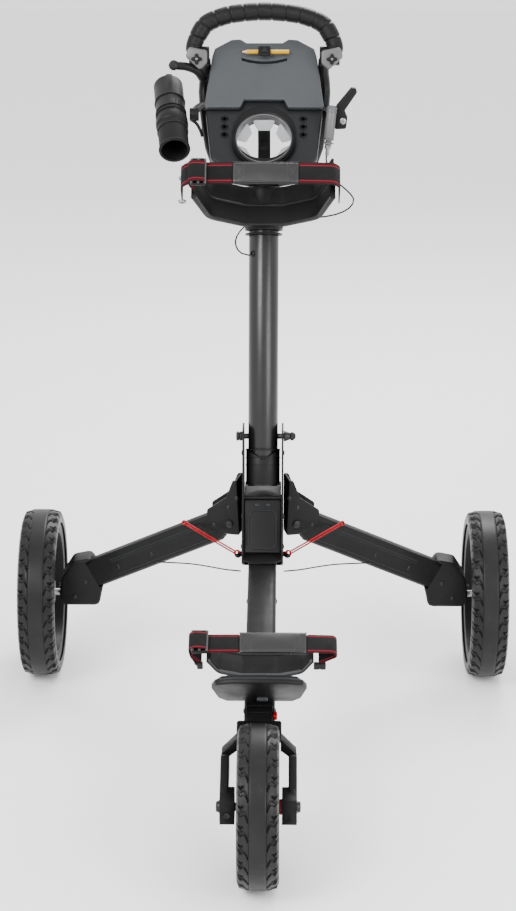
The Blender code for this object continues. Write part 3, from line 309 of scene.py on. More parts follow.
def slab(outlines: Sequence[Sequence[Point2]], depth: float, edge: float, place: Matrix,
         segments: int = 3) -> bpy.types.Mesh:
    """A flat outline, with any more outlines as holes, thickened about its plane with round edges.

    Args:
        outlines: The outer outline, then the holes.
        depth: Its thickness.
        edge: The radius of its edges.
        place: Where it goes.
        segments: Steps round each edge.

    Returns:
        The closed mesh.
    """
    curve = bpy.data.curves.new("outline", "CURVE")
    curve.dimensions = "2D"
    curve.fill_mode = "BOTH"
    curve.extrude = depth / 2 - edge
    curve.bevel_depth = edge
    curve.bevel_resolution = max(0, segments - 1)
    curve.offset = -edge
    for outline in outlines:
        spline = curve.splines.new("POLY")
        spline.points.add(len(outline) - 1)
        for point, (x, y) in zip(spline.points, outline):
            point.co = (x, y, 0, 1)
        spline.use_cyclic_u = True
    mesh = baked(bpy.data.objects.new("outline", curve))
    mesh.transform(place)
    tidy(mesh, 5e-6)
    return mesh


def baked(thing: bpy.types.Object) -> bpy.types.Mesh:
    """The object's evaluated mesh; the object itself is removed.

    Args:
        thing: The object, with its modifiers.

    Returns:
        A plain mesh.
    """
    if not thing.users_collection:
        bpy.context.scene.collection.objects.link(thing)
    bpy.context.view_layer.update()
    graph = bpy.context.evaluated_depsgraph_get()
    mesh = bpy.data.meshes.new_from_object(thing.evaluated_get(graph))
    bpy.data.objects.remove(thing)
    return mesh


def tube(points: Sequence[Vector], radius: float | Callable[[float], float], sides: int = 12,
         flatten: float = 1.0) -> bpy.types.Mesh:
    """A round bar along a line, with closed ends.

    Args:
        points: The line's points.
        radius: The bar's radius, or its radius at a distance along the line.
        sides: Faces round the bar.
        flatten: The bar's thickness across its second direction, as a share of the first.

    Returns:
        The closed mesh.
    """
    size = radius if callable(radius) else (lambda _: radius)
    around = zip([points[0], *points[:-1]], [*points[1:], points[-1]])
    tangents = [(b - a).normalized() for a, b in around]
    tangents[0] = (points[1] - points[0]).normalized()
    side = tangents[0].orthogonal().normalized()
    verts, faces, run = [], [], 0.0
    for i, (point, along) in enumerate(zip(points, tangents)):
        run += (point - points[i - 1]).length if i else 0.0
        side = (side - along * side.dot(along)).normalized()
        other = along.cross(side)
        r = size(run)
        for k in range(sides):
            a = 2 * pi * k / sides
            verts.append(point + side * (r * cos(a)) + other * (r * flatten * sin(a)))
    for i in range(len(points) - 1):
        for k in range(sides):
            n = (k + 1) % sides
            faces.append((i * sides + k, i * sides + n, (i + 1) * sides + n, (i + 1) * sides + k))
    faces.append(tuple(range(sides))[::-1])
    faces.append(tuple(range((len(points) - 1) * sides, len(points) * sides)))
    return mesh_from(verts, faces)


def ribbon(points: Sequence[Vector], wide: Vector, width: float, thick: float) -> bpy.types.Mesh:
    """A woven strap along a line, with soft edges.

    Args:
        points: The line's points.
        wide: The direction across the strap.
        width: The strap's width.
        thick: Its thickness.

    Returns:
        The closed mesh, whose UV map holds metres along and across the strap.
    """
    w, h = width / 2, thick / 2
    section = [(-w, 0), (-w + h * 0.4, -h * 0.8), (-w + h * 1.2, -h), (w - h * 1.2, -h),
               (w - h * 0.4, -h * 0.8), (w, 0), (w - h * 0.4, h * 0.8), (w - h * 1.2, h),
               (-w + h * 1.2, h), (-w + h * 0.4, h * 0.8)]
    count, verts, faces, runs, run = len(section), [], [], [], 0.0
    wide = wide.normalized()
    for i, point in enumerate(points):
        run += (point - points[i - 1]).length if i else 0.0
        runs.append(run)
        along = (points[min(i + 1, len(points) - 1)] - points[max(i - 1, 0)]).normalized()
        out = along.cross(wide).normalized()
        verts += [point + wide * a + out * b for a, b in section]
    for i in range(len(points) - 1):
        for k in range(count):
            n = (k + 1) % count
            faces.append((i * count + k, i * count + n, (i + 1) * count + n, (i + 1) * count + k))
    faces.append(tuple(range(count))[::-1])
    faces.append(tuple(range((len(points) - 1) * count, len(points) * count)))
    mesh = bpy.data.meshes.new("strap")
    mesh.from_pydata([tuple(v) for v in verts], [], faces)
    layer = mesh.uv_layers.new(name="strap")
    for loop in mesh.loops:
        i, k = divmod(loop.vertex_index, count)
        layer.data[loop.index].uv = (runs[i], section[k][0])
    tidy(mesh, 0)
    return mesh


def joined(meshes: Sequence[bpy.types.Mesh]) -> bpy.types.Mesh:
    """Several meshes as one.

    Args:
        meshes: The meshes; the first one takes up the others, which are removed.

    Returns:
        The first mesh.
    """
    shape = bmesh.new()
    for mesh in meshes:
        shape.from_mesh(mesh)
        if mesh is not meshes[0]:
            bpy.data.meshes.remove(mesh)
    shape.to_mesh(meshes[0])
    shape.free()
    return meshes[0]


def carved(mesh: bpy.types.Mesh, cutters: Sequence[bpy.types.Mesh]) -> bpy.types.Mesh:
    """A mesh with each cutter taken out of it.

    Args:
        mesh: The solid.
        cutters: The solids that are cut away.

    Returns:
        The new mesh.
    """
    thing = bpy.data.objects.new("carved", mesh)
    bpy.context.scene.collection.objects.link(thing)
    helpers = []
    for cutter in cutters:
        helper = bpy.data.objects.new("cutter", cutter)
        bpy.context.scene.collection.objects.link(helper)
        boolean = thing.modifiers.new("cut", "BOOLEAN")
        boolean.operation, boolean.solver, boolean.object = "DIFFERENCE", "EXACT", helper
        helpers.append(helper)
    made = baked(thing)
    for helper in helpers:
        bpy.data.objects.remove(helper)
    return made


# Finishes


class Surface(Enum):
    """What a finish feels like up close."""

    POWDER = "powder"
    MOULDED = "moulded"
    RUBBER = "rubber"
    LEATHER = "leather"
    WOVEN = "woven"
    METAL = "metal"
    LACQUER = "lacquer"


@dataclass(frozen=True)
class Finish:
    """One finish: its colour, gloss and the relief that its surface shows up close."""

    name: str
    colour: tuple[float, float, float]
    roughness: float
    surface: Surface
    metallic: float = 0.0
    vary: float = 0.12
    coat: float = 0.0
    sheen: float = 0.0
    grain: float = 900.0
    relief: float = 0.00006
    scuffs: float = 0.0
    shine: float = 0.16

    def material(self) -> bpy.types.Material:
        """The finish's node material, made once."""
        found = bpy.data.materials.get(self.name)
        if found:
            return found
        made = bpy.data.materials.new(self.name)
        made.use_nodes = True
        nodes, links = made.node_tree.nodes, made.node_tree.links
        shader = nodes["Principled BSDF"]
        shader.inputs["Metallic"].default_value = self.metallic
        shader.inputs["Specular IOR Level"].default_value = self.shine
        shader.inputs["Coat Weight"].default_value = self.coat
        shader.inputs["Coat Roughness"].default_value = 0.15
        shader.inputs["Sheen Weight"].default_value = self.sheen
        place = nodes.new("ShaderNodeTexCoord").outputs["Object"]

        def noise(scale: float, detail: float, rough: float = 0.5) -> bpy.types.NodeSocket:
            """A noise value on the object's own coordinates.

            Args:
                scale: Patches per metre, roughly.
                detail: How many finer layers it has.
                rough: How strong the finer layers are.

            Returns:
                The value's socket.
            """
            node = nodes.new("ShaderNodeTexNoise")
            node.inputs["Scale"].default_value = scale
            node.inputs["Detail"].default_value = detail
            node.inputs["Roughness"].default_value = rough
            links.new(place, node.inputs["Vector"])
            return node.outputs["Fac"]

        def ranged(value: bpy.types.NodeSocket, low: float, high: float, out_low: float,
                   out_high: float) -> bpy.types.NodeSocket:
            """The value carried from one range to another.

            Args:
                value: The value's socket.
                low: The start of its range.
                high: The end of its range.
                out_low: What the start becomes.
                out_high: What the end becomes.

            Returns:
                The new value's socket.
            """
            node = nodes.new("ShaderNodeMapRange")
            links.new(value, node.inputs["Value"])
            ends = {"From Min": low, "From Max": high, "To Min": out_low, "To Max": out_high}
            for label, number in ends.items():
                node.inputs[label].default_value = number
            return node.outputs["Result"]

        def mixed(factor: bpy.types.NodeSocket, first: bpy.types.NodeSocket | tuple,
                  second: tuple) -> bpy.types.NodeSocket:
            """A mix of two colours.

            Args:
                factor: The second colour's share.
                first: The first colour, or its socket.
                second: The second colour.

            Returns:
                The mixed colour's socket.
            """
            node = nodes.new("ShaderNodeMix")
            node.data_type = "RGBA"
            links.new(factor, node.inputs["Factor"])
            if isinstance(first, tuple):
                node.inputs["A"].default_value = (*first, 1)
            else:
                links.new(first, node.inputs["A"])
            node.inputs["B"].default_value = (*second, 1)
            return node.outputs["Result"]

        dark = tuple(c * (1 - self.vary) for c in self.colour)
        light = tuple(min(1.0, c * (1 + self.vary)) for c in self.colour)
        patches = noise(14.0, 5.0, 0.62)
        colour = mixed(ranged(patches, 0.3, 0.7, 0, 1), dark, light)
        if self.surface is Surface.WOVEN:
            colour = self.stripes(nodes, links, mixed, colour)
        if self.scuffs:
            marks = ranged(noise(55.0, 8.0, 0.72), 0.60, 0.72, 0, self.scuffs)
            lift = tuple(min(1.0, c * 2.2 + 0.03) for c in self.colour)
            colour = mixed(marks, colour, lift)
        links.new(colour, shader.inputs["Base Color"])
        low, high = self.roughness * 0.86, min(1.0, self.roughness * 1.16)
        links.new(ranged(noise(32.0, 4.0, 0.6), 0.3, 0.7, low, high), shader.inputs["Roughness"])

        bump = nodes.new("ShaderNodeBump")
        bump.inputs["Distance"].default_value = self.relief
        bump.inputs["Strength"].default_value = 1.0
        if self.surface is Surface.WOVEN:
            height = self.weave(nodes, links)
        elif self.surface is Surface.LEATHER:
            cells = nodes.new("ShaderNodeTexVoronoi")
            cells.feature = "DISTANCE_TO_EDGE"
            cells.inputs["Scale"].default_value = self.grain
            links.new(place, cells.inputs["Vector"])
            height = ranged(cells.outputs["Distance"], 0.0, 0.18, 0, 1)
        elif self.surface is Surface.METAL:
            stretch = nodes.new("ShaderNodeMapping")
            stretch.inputs["Scale"].default_value = (1.0, 0.15, 1.0)
            links.new(place, stretch.inputs["Vector"])
            node = nodes.new("ShaderNodeTexNoise")
            node.inputs["Scale"].default_value = self.grain
            links.new(stretch.outputs["Vector"], node.inputs["Vector"])
            height = node.outputs["Fac"]
        else:
            height = noise(self.grain, 3.0, 0.55)
        links.new(height, bump.inputs["Height"])
        links.new(bump.outputs["Normal"], shader.inputs["Normal"])
        return made

    def stripes(self, nodes: bpy.types.Nodes, links: bpy.types.NodeLinks, mixed: Callable,
                colour: bpy.types.NodeSocket) -> bpy.types.NodeSocket:
        """Dark red edge bands with a thin brighter line, by the distance from the strap's middle.

        Args:
            nodes: The material's nodes.
            links: The material's links.
            mixed: Makes a mix of two colours.
            colour: The webbing's own colour.

        Returns:
            The striped colour's socket.
        """
        split = nodes.new("ShaderNodeSeparateXYZ")
        links.new(nodes.new("ShaderNodeTexCoord").outputs["UV"], split.inputs["Vector"])
        middle = nodes.new("ShaderNodeMath")
        middle.operation = "ABSOLUTE"
        links.new(split.outputs["Y"], middle.inputs[0])
        band, line = (0.0112, 0.0172, (0.050, 0.0040, 0.0075)), (0.0124, 0.0135, (0.17, 0.020, 0.030))
        for start, end, paint in (band, line):
            inside = nodes.new("ShaderNodeMath")
            inside.operation = "COMPARE"
            links.new(middle.outputs["Value"], inside.inputs[0])
            inside.inputs[1].default_value = (start + end) / 2
            inside.inputs[2].default_value = (end - start) / 2
            colour = mixed(inside.outputs["Value"], colour, paint)
        return colour

    def weave(self, nodes: bpy.types.Nodes, links: bpy.types.NodeLinks) -> bpy.types.NodeSocket:
        """The height of crossing yarns, from the strap's own lengthwise and crosswise distances.

        Args:
            nodes: The material's nodes.
            links: The material's links.

        Returns:
            The height's socket.
        """
        split = nodes.new("ShaderNodeSeparateXYZ")
        links.new(nodes.new("ShaderNodeTexCoord").outputs["UV"], split.inputs["Vector"])
        waves = []
        for axis, yarn in (("X", 0.0022), ("Y", 0.0011)):
            turn = nodes.new("ShaderNodeMath")
            turn.operation = "MULTIPLY"
            turn.inputs[1].default_value = 2 * pi / yarn
            links.new(split.outputs[axis], turn.inputs[0])
            wave = nodes.new("ShaderNodeMath")
            wave.operation = "SINE"
            links.new(turn.outputs["Value"], wave.inputs[0])
            waves.append(wave.outputs["Value"])
        both = nodes.new("ShaderNodeMath")
        both.operation = "MULTIPLY"
        links.new(waves[0], both.inputs[0])
        links.new(waves[1], both.inputs[1])
        return both.outputs["Value"]


POWDER_BLACK = Finish("powder_coated_black", (0.0042, 0.0042, 0.0046), 0.52, Surface.POWDER, vary=0.18,
                      coat=0.04, grain=1400.0, relief=0.00004, scuffs=0.10)
GLOSS_BLACK = Finish("semi_gloss_black_tube", (0.0042, 0.0042, 0.0046), 0.32, Surface.POWDER, vary=0.15,
                     coat=0.12, grain=900.0, relief=0.00001, scuffs=0.03, shine=0.35)
MOULDED_BLACK = Finish("moulded_black", (0.0046, 0.0046, 0.0050), 0.46, Surface.MOULDED, vary=0.2,
                       grain=1700.0, relief=0.00006, scuffs=0.08)
CASING_GREY = Finish("moulded_casing_grey", (0.044, 0.048, 0.052), 0.38, Surface.MOULDED, vary=0.06,
                     grain=1900.0, relief=0.00003, scuffs=0.04, shine=0.3)
CASING_DARK = Finish("moulded_casing_dark", (0.0120, 0.0130, 0.0142), 0.42, Surface.MOULDED, vary=0.08,
                     grain=1900.0, relief=0.00004, scuffs=0.04)
WING_GREY = Finish("moulded_wing_grey", (0.0120, 0.0120, 0.0125), 0.50, Surface.MOULDED, vary=0.12,
                   grain=1500.0, relief=0.00006, scuffs=0.12)
SILVER_CASING = Finish("silver_casing", (0.105, 0.105, 0.108), 0.36, Surface.MOULDED, metallic=0.25,
                       vary=0.06, grain=2200.0, relief=0.00002, scuffs=0.05)
TYRE_RUBBER = Finish("treaded_rubber", (0.0100, 0.0100, 0.0105), 0.40, Surface.RUBBER, vary=0.25,
                     grain=700.0, relief=0.00012, scuffs=0.25)
GRIP_RUBBER = Finish("pressed_grip_rubber", (0.0040, 0.0040, 0.0044), 0.34, Surface.LEATHER, vary=0.2,
                     grain=620.0, relief=0.00010)
PAD_LEATHER = Finish("pad_leatherette", (0.0048, 0.0048, 0.0052), 0.30, Surface.LEATHER, vary=0.15,
                     coat=0.08, grain=520.0, relief=0.00005, shine=0.5)
WEBBING = Finish("strap_webbing", (0.0085, 0.0080, 0.0085), 0.75, Surface.WOVEN, vary=0.2, sheen=0.02,
                 relief=0.00020, shine=0.08)
TAPE_BLACK = Finish("black_binding", (0.008, 0.0076, 0.0082), 0.70, Surface.LEATHER, vary=0.2, sheen=0.2,
                    grain=1100.0, relief=0.00015)
THREAD = Finish("dark_thread", (0.055, 0.052, 0.053), 0.70, Surface.RUBBER, vary=0.15,
                grain=2500.0, relief=0.00005)
RED_ENAMEL = Finish("red_enamel", (0.26, 0.0030, 0.0075), 0.36, Surface.POWDER, metallic=0.15, vary=0.1,
                    coat=0.1, grain=1200.0, relief=0.00003)
ZINC = Finish("zinc_plated_steel", (0.25, 0.25, 0.255), 0.32, Surface.METAL, metallic=1.0, vary=0.08,
              grain=600.0, relief=0.00003)
DARK_STEEL = Finish("blackened_steel", (0.030, 0.030, 0.032), 0.36, Surface.METAL, metallic=0.9, vary=0.15,
                    grain=600.0, relief=0.00004)
PENCIL_YELLOW = Finish("yellow_lacquer", (0.46, 0.25, 0.0006), 0.40, Surface.LACQUER, vary=0.06, coat=0.1,
                       grain=500.0, relief=0.00004)
PENCIL_WOOD = Finish("bare_pencil_wood", (0.55, 0.33, 0.17), 0.65, Surface.LACQUER, vary=0.15, grain=900.0,
                     relief=0.00008)
GRAPHITE = Finish("graphite", (0.03, 0.03, 0.032), 0.35, Surface.METAL, metallic=0.5, grain=900.0)
HOSE_BLACK = Finish("cable_jacket", (0.006, 0.006, 0.0065), 0.38, Surface.RUBBER, vary=0.1, grain=1200.0,
                    relief=0.00003)
FLEX_GREY = Finish("soft_light_grey_rubber", (0.34, 0.35, 0.36), 0.48, Surface.RUBBER, vary=0.05,
                   grain=1500.0, relief=0.00004)


# Pieces


def piece(name: str, mesh: bpy.types.Mesh, finish: Finish, body: str,
          stands_for: Sequence[str] = (), sharp: float = 35.0) -> bpy.types.Object:
    """Puts a finished mesh in the scene on a body.

    Args:
        name: The piece's name.
        mesh: Its mesh, with its place in it.
        finish: Its material.
        body: The CAD body that it moves with.
        stands_for: CAD nodes that it replaces.
        sharp: Edges that turn by more than this stay sharp.

    Returns:
        The new object.
    """
    mesh.name = name
    mesh.materials.clear()
    mesh.materials.append(finish.material())
    thing = bpy.data.objects.new(name, mesh)
    bpy.context.scene.collection.objects.link(thing)
    mesh.shade_smooth()
    mesh.set_sharp_from_angle(angle=radians(sharp))
    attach(thing, body)
    if stands_for:
        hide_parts(*stands_for)
    LOG.info("%s: %d faces on %s", name, len(mesh.polygons), body)
    return thing


def dress(node: str, finish: Finish, edge: float = 0.0007) -> None:
    """Carries a CAD node over as a copy with softened edges and its own finish.

    Args:
        node: The CAD node.
        finish: Its material.
        edge: The width of its softened edges.
    """
    source = frame["nodes"][node]
    body = next(name for name, holder in frame["bodies"].items() if holder == source.parent)
    for held in source.material_slots:
        held.material = finish.material()
    mesh = source.data.copy()
    shape = bmesh.new()
    shape.from_mesh(mesh)
    bmesh.ops.remove_doubles(shape, verts=shape.verts, dist=1e-6)
    bmesh.ops.recalc_face_normals(shape, faces=shape.faces)
    bmesh.ops.dissolve_limit(shape, angle_limit=radians(0.6), verts=shape.verts, edges=shape.edges)
    shape.to_mesh(mesh)
    shape.free()
    thing = bpy.data.objects.new(node, mesh)
    bpy.context.scene.collection.objects.link(thing)
    soften = thing.modifiers.new("edges", "BEVEL")
    soften.width, soften.segments, soften.limit_method = edge, 2, "ANGLE"
    soften.angle_limit = radians(32)
    piece(f"{node}_dressed", baked(thing), finish, body, [node], 40)


class Repeat:
    """Geometry Nodes that repeat a small shape on points or along a line."""

    @staticmethod
    def shape_object(mesh: bpy.types.Mesh) -> bpy.types.Object:
        """A helper object that holds the shape to repeat."""
        thing = bpy.data.objects.new("repeated", mesh)
        bpy.context.scene.collection.objects.link(thing)
        return thing

    @staticmethod
    def tree(name: str, along: bool) -> bpy.types.NodeTree:
        """The node tree, with inputs for the shape, its finish and its spacing.

        Args:
            name: The tree's name.
            along: True to follow a line, False to sit on points by their aim attribute.

        Returns:
            The node group.
        """
        made = bpy.data.node_groups.new(name, "GeometryNodeTree")
        face = made.interface
        face.new_socket("Geometry", in_out="INPUT", socket_type="NodeSocketGeometry")
        face.new_socket("Shape", in_out="INPUT", socket_type="NodeSocketObject")
        face.new_socket("Finish", in_out="INPUT", socket_type="NodeSocketMaterial")
        face.new_socket("Spacing", in_out="INPUT", socket_type="NodeSocketFloat")
        face.new_socket("Geometry", in_out="OUTPUT", socket_type="NodeSocketGeometry")
        nodes, links = made.nodes, made.links
        start, end = nodes.new("NodeGroupInput"), nodes.new("NodeGroupOutput")
        shape = nodes.new("GeometryNodeObjectInfo")
        links.new(start.outputs["Shape"], shape.inputs["Object"])
        spread = nodes.new("GeometryNodeInstanceOnPoints")
        links.new(shape.outputs["Geometry"], spread.inputs["Instance"])
        aim = nodes.new("FunctionNodeAlignEulerToVector")
        if along:
            line = nodes.new("GeometryNodeMeshToCurve")
            links.new(start.outputs["Geometry"], line.inputs["Mesh"])
            points = nodes.new("GeometryNodeCurveToPoints")
            points.mode = "LENGTH"
            links.new(line.outputs["Curve"], points.inputs["Curve"])
            links.new(start.outputs["Spacing"], points.inputs["Length"])
            aim.axis = "X"
            links.new(points.outputs["Tangent"], aim.inputs["Vector"])
            links.new(points.outputs["Points"], spread.inputs["Points"])
        else:
            aim.axis = "Z"
            direction = nodes.new("GeometryNodeInputNamedAttribute")
            direction.data_type = "FLOAT_VECTOR"
            direction.inputs["Name"].default_value = "aim"
            links.new(direction.outputs["Attribute"], aim.inputs["Vector"])
            links.new(start.outputs["Geometry"], spread.inputs["Points"])
        links.new(aim.outputs["Rotation"], spread.inputs["Rotation"])
        solid = nodes.new("GeometryNodeRealizeInstances")
        paint = nodes.new("GeometryNodeSetMaterial")
        links.new(spread.outputs["Instances"], solid.inputs["Geometry"])
        links.new(solid.outputs["Geometry"], paint.inputs["Geometry"])
        links.new(start.outputs["Finish"], paint.inputs["Material"])
        links.new(paint.outputs["Geometry"], end.inputs["Geometry"])
        return made

    @classmethod
    def made(cls, carrier: bpy.types.Mesh, shape: bpy.types.Mesh, finish: Finish, along: bool,
             spacing: float = 0.01) -> bpy.types.Mesh:
        """The repeated shape as one plain mesh.

        Args:
            carrier: Points with an aim attribute, or the edges of a line.
            shape: The shape to repeat.
            finish: Its material.
            along: True where the carrier is a line.
            spacing: The distance between copies on a line.

        Returns:
            The realised mesh.
        """
        name = "repeat_along" if along else "repeat_on_points"
        tree = bpy.data.node_groups.get(name) or cls.tree(name, along)
        helper = cls.shape_object(shape)
        thing = bpy.data.objects.new("carrier", carrier)
        bpy.context.scene.collection.objects.link(thing)
        modifier = thing.modifiers.new("repeat", "NODES")
        modifier.node_group = tree
        sockets = {item.name: item.identifier for item in tree.interface.items_tree if item.in_out == "INPUT"}
        modifier[sockets["Shape"]] = helper
        modifier[sockets["Finish"]] = finish.material()
        modifier[sockets["Spacing"]] = spacing
        mesh = baked(thing)
        bpy.data.objects.remove(helper)
        return mesh

    @classmethod
    def studs(cls, spots: Sequence[tuple[Vector, Vector]], shape: bpy.types.Mesh,
              finish: Finish) -> bpy.types.Mesh:
        """The shape on each spot, with its Z along the spot's direction.

        Args:
            spots: Each place with its outward direction.
            shape: The shape to repeat.
            finish: Its material.

        Returns:
            The realised mesh.
        """
        carrier = bpy.data.meshes.new("spots")
        carrier.from_pydata([tuple(spot) for spot, _ in spots], [], [])
        aim = carrier.attributes.new("aim", "FLOAT_VECTOR", "POINT")
        for item, (_, direction) in zip(aim.data, spots):
            item.vector = direction.normalized()
        return cls.made(carrier, shape, finish, False)

    @classmethod
    def stitches(cls, lines: Sequence[Sequence[Vector]], finish: Finish, length: float = 0.0026,
                 gap: float = 0.0012, radius: float = 0.00042) -> bpy.types.Mesh:
        """Thread laid along each line.

        Args:
            lines: The seams.
            finish: The thread's material.
            length: One stitch's length.
            gap: The distance from one stitch to the next.
            radius: The thread's radius.

        Returns:
            The realised mesh.
        """
        half, thin = length / 2, radius * 0.8
        profile = [(0, -half), (thin, -half * 0.8), (radius, 0), (thin, half * 0.8), (0, half)]
        shape = lathe(profile, 6, Matrix.Rotation(pi / 2, 4, "Y"))
        carrier = bpy.data.meshes.new("lines")
        verts, edges = [], []
        for line in lines:
            first = len(verts)
            verts += [tuple(p) for p in line]
            edges += [(first + k, first + k + 1) for k in range(len(line) - 1)]
        carrier.from_pydata(verts, edges, [])
        return cls.made(carrier, shape, finish, True, length + gap)


def rivet(radius: float, height: float) -> bpy.types.Mesh:
    """A domed rivet head on a thin washer, along Z."""
    profile = [(0, height), (radius * 0.45, height * 0.93), (radius * 0.8, height * 0.6),
               (radius, height * 0.12), (radius * 1.18, height * 0.10), (radius * 1.2, -height * 0.3),
               (0, -height * 0.3)]
    return lathe(profile, 20, Matrix())


def screw(radius: float, height: float) -> bpy.types.Mesh:
    """A pan-head screw with a hexagonal socket, along Z.

    Args:
        radius: The head's radius.
        height: How far it stands out.

    Returns:
        The closed mesh.
    """
    head = lathe([(0, height), (radius * 0.7, height), (radius, height * 0.6), (radius, -height * 0.4),
                  (0, -height * 0.4)], 24, Matrix())
    socket = lathe([(0, height * 0.3), (radius * 0.45, height * 0.3), (radius * 0.45, height * 1.5),
                    (0, height * 1.5)], 6, Matrix())
    return carved(head, [socket])


class Dropped:
    """Lines laid on a piece's face."""

    def __init__(self, mesh: bpy.types.Mesh) -> None:
        """Args:
            mesh: The surface that the lines are laid on.
        """
        mesh.calc_loop_triangles()
        self.tree = BVHTree.FromPolygons([v.co for v in mesh.vertices],
                                         [tuple(t.vertices) for t in mesh.loop_triangles])

    def line(self, points: Sequence[Vector], down: Vector, lift: float) -> list[Vector]:
        """Each point carried along a direction to the surface, then lifted off it a little.

        Args:
            points: Points off the surface.
            down: The direction towards it.
            lift: How far the points stand off it.

        Returns:
            The points that met the surface.
        """
        made = []
        for point in points:
            hit = self.tree.ray_cast(point, down)[0]
            if hit is not None:
                made.append(hit - down * lift)
        return made


@dataclass
class Studio:
    """The camera, the lights and the floor."""

    lens: float = 165.6
    eye: tuple[float, float, float] = (0.0357, -3.38525, 1.603)
    pitch: float = radians(18.0)
    heading: float = 0.01205

    def camera(self) -> None:
        """Puts the camera in front of the cart and above it."""
        data = bpy.data.cameras.new("camera")
        data.sensor_fit, data.sensor_width, data.lens = "HORIZONTAL", 36.0, self.lens
        thing = bpy.data.objects.new("camera", data)
        thing.location = self.eye
        level = cos(self.pitch)
        ahead = Vector((-sin(self.heading) * level, cos(self.heading) * level, -sin(self.pitch)))
        thing.rotation_euler = ahead.to_track_quat("-Z", "Y").to_euler()
        bpy.context.scene.collection.objects.link(thing)
        bpy.context.scene.camera = thing

    def light(self, name: str, place: tuple, size: float, power: float) -> None:
        """One soft square light that faces the cart.

        Args:
            name: Its name.
            place: Where it hangs.
            size: The length of its sides.
            power: Its power in watts.
        """
        data = bpy.data.lights.new(name, "AREA")
        data.size, data.energy = size, power
        thing = bpy.data.objects.new(name, data)
        thing.location = place
        thing.rotation_euler = (Vector((0, 0, 0.55)) - Vector(place)).to_track_quat("-Z", "Y").to_euler()
        bpy.context.scene.collection.objects.link(thing)

    def build(self) -> None:
        """Sets the room: pale floor, pale air and three soft lights."""
        self.camera()
        world = bpy.data.worlds.new("room")
        world.use_nodes = True
        world.node_tree.nodes["Background"].inputs["Color"].default_value = (1.0, 1.0, 1.0, 1)
        world.node_tree.nodes["Background"].inputs["Strength"].default_value = 1.7
        bpy.context.scene.world = world
        floor = Finish("studio_floor", (0.95, 0.95, 0.95), 0.8, Surface.LACQUER, vary=0.005, grain=40.0,
                       relief=0.00001)
        reach, level = 9, -0.0006
        corners = [(-reach, -reach, level), (reach, -reach, level), (reach, reach, level),
                   (-reach, reach, level)]
        mesh = mesh_from(corners, [(0, 1, 2, 3)])
        mesh.materials.append(floor.material())
        thing = bpy.data.objects.new("floor", mesh)
        bpy.context.scene.collection.objects.link(thing)
        self.light("key", (-1.9, -2.6, 2.9), 1.6, 150.0)
        self.light("fill", (2.3, -2.2, 1.7), 1.8, 80.0)
        self.light("back", (0.6, 2.4, 2.6), 1.5, 90.0)


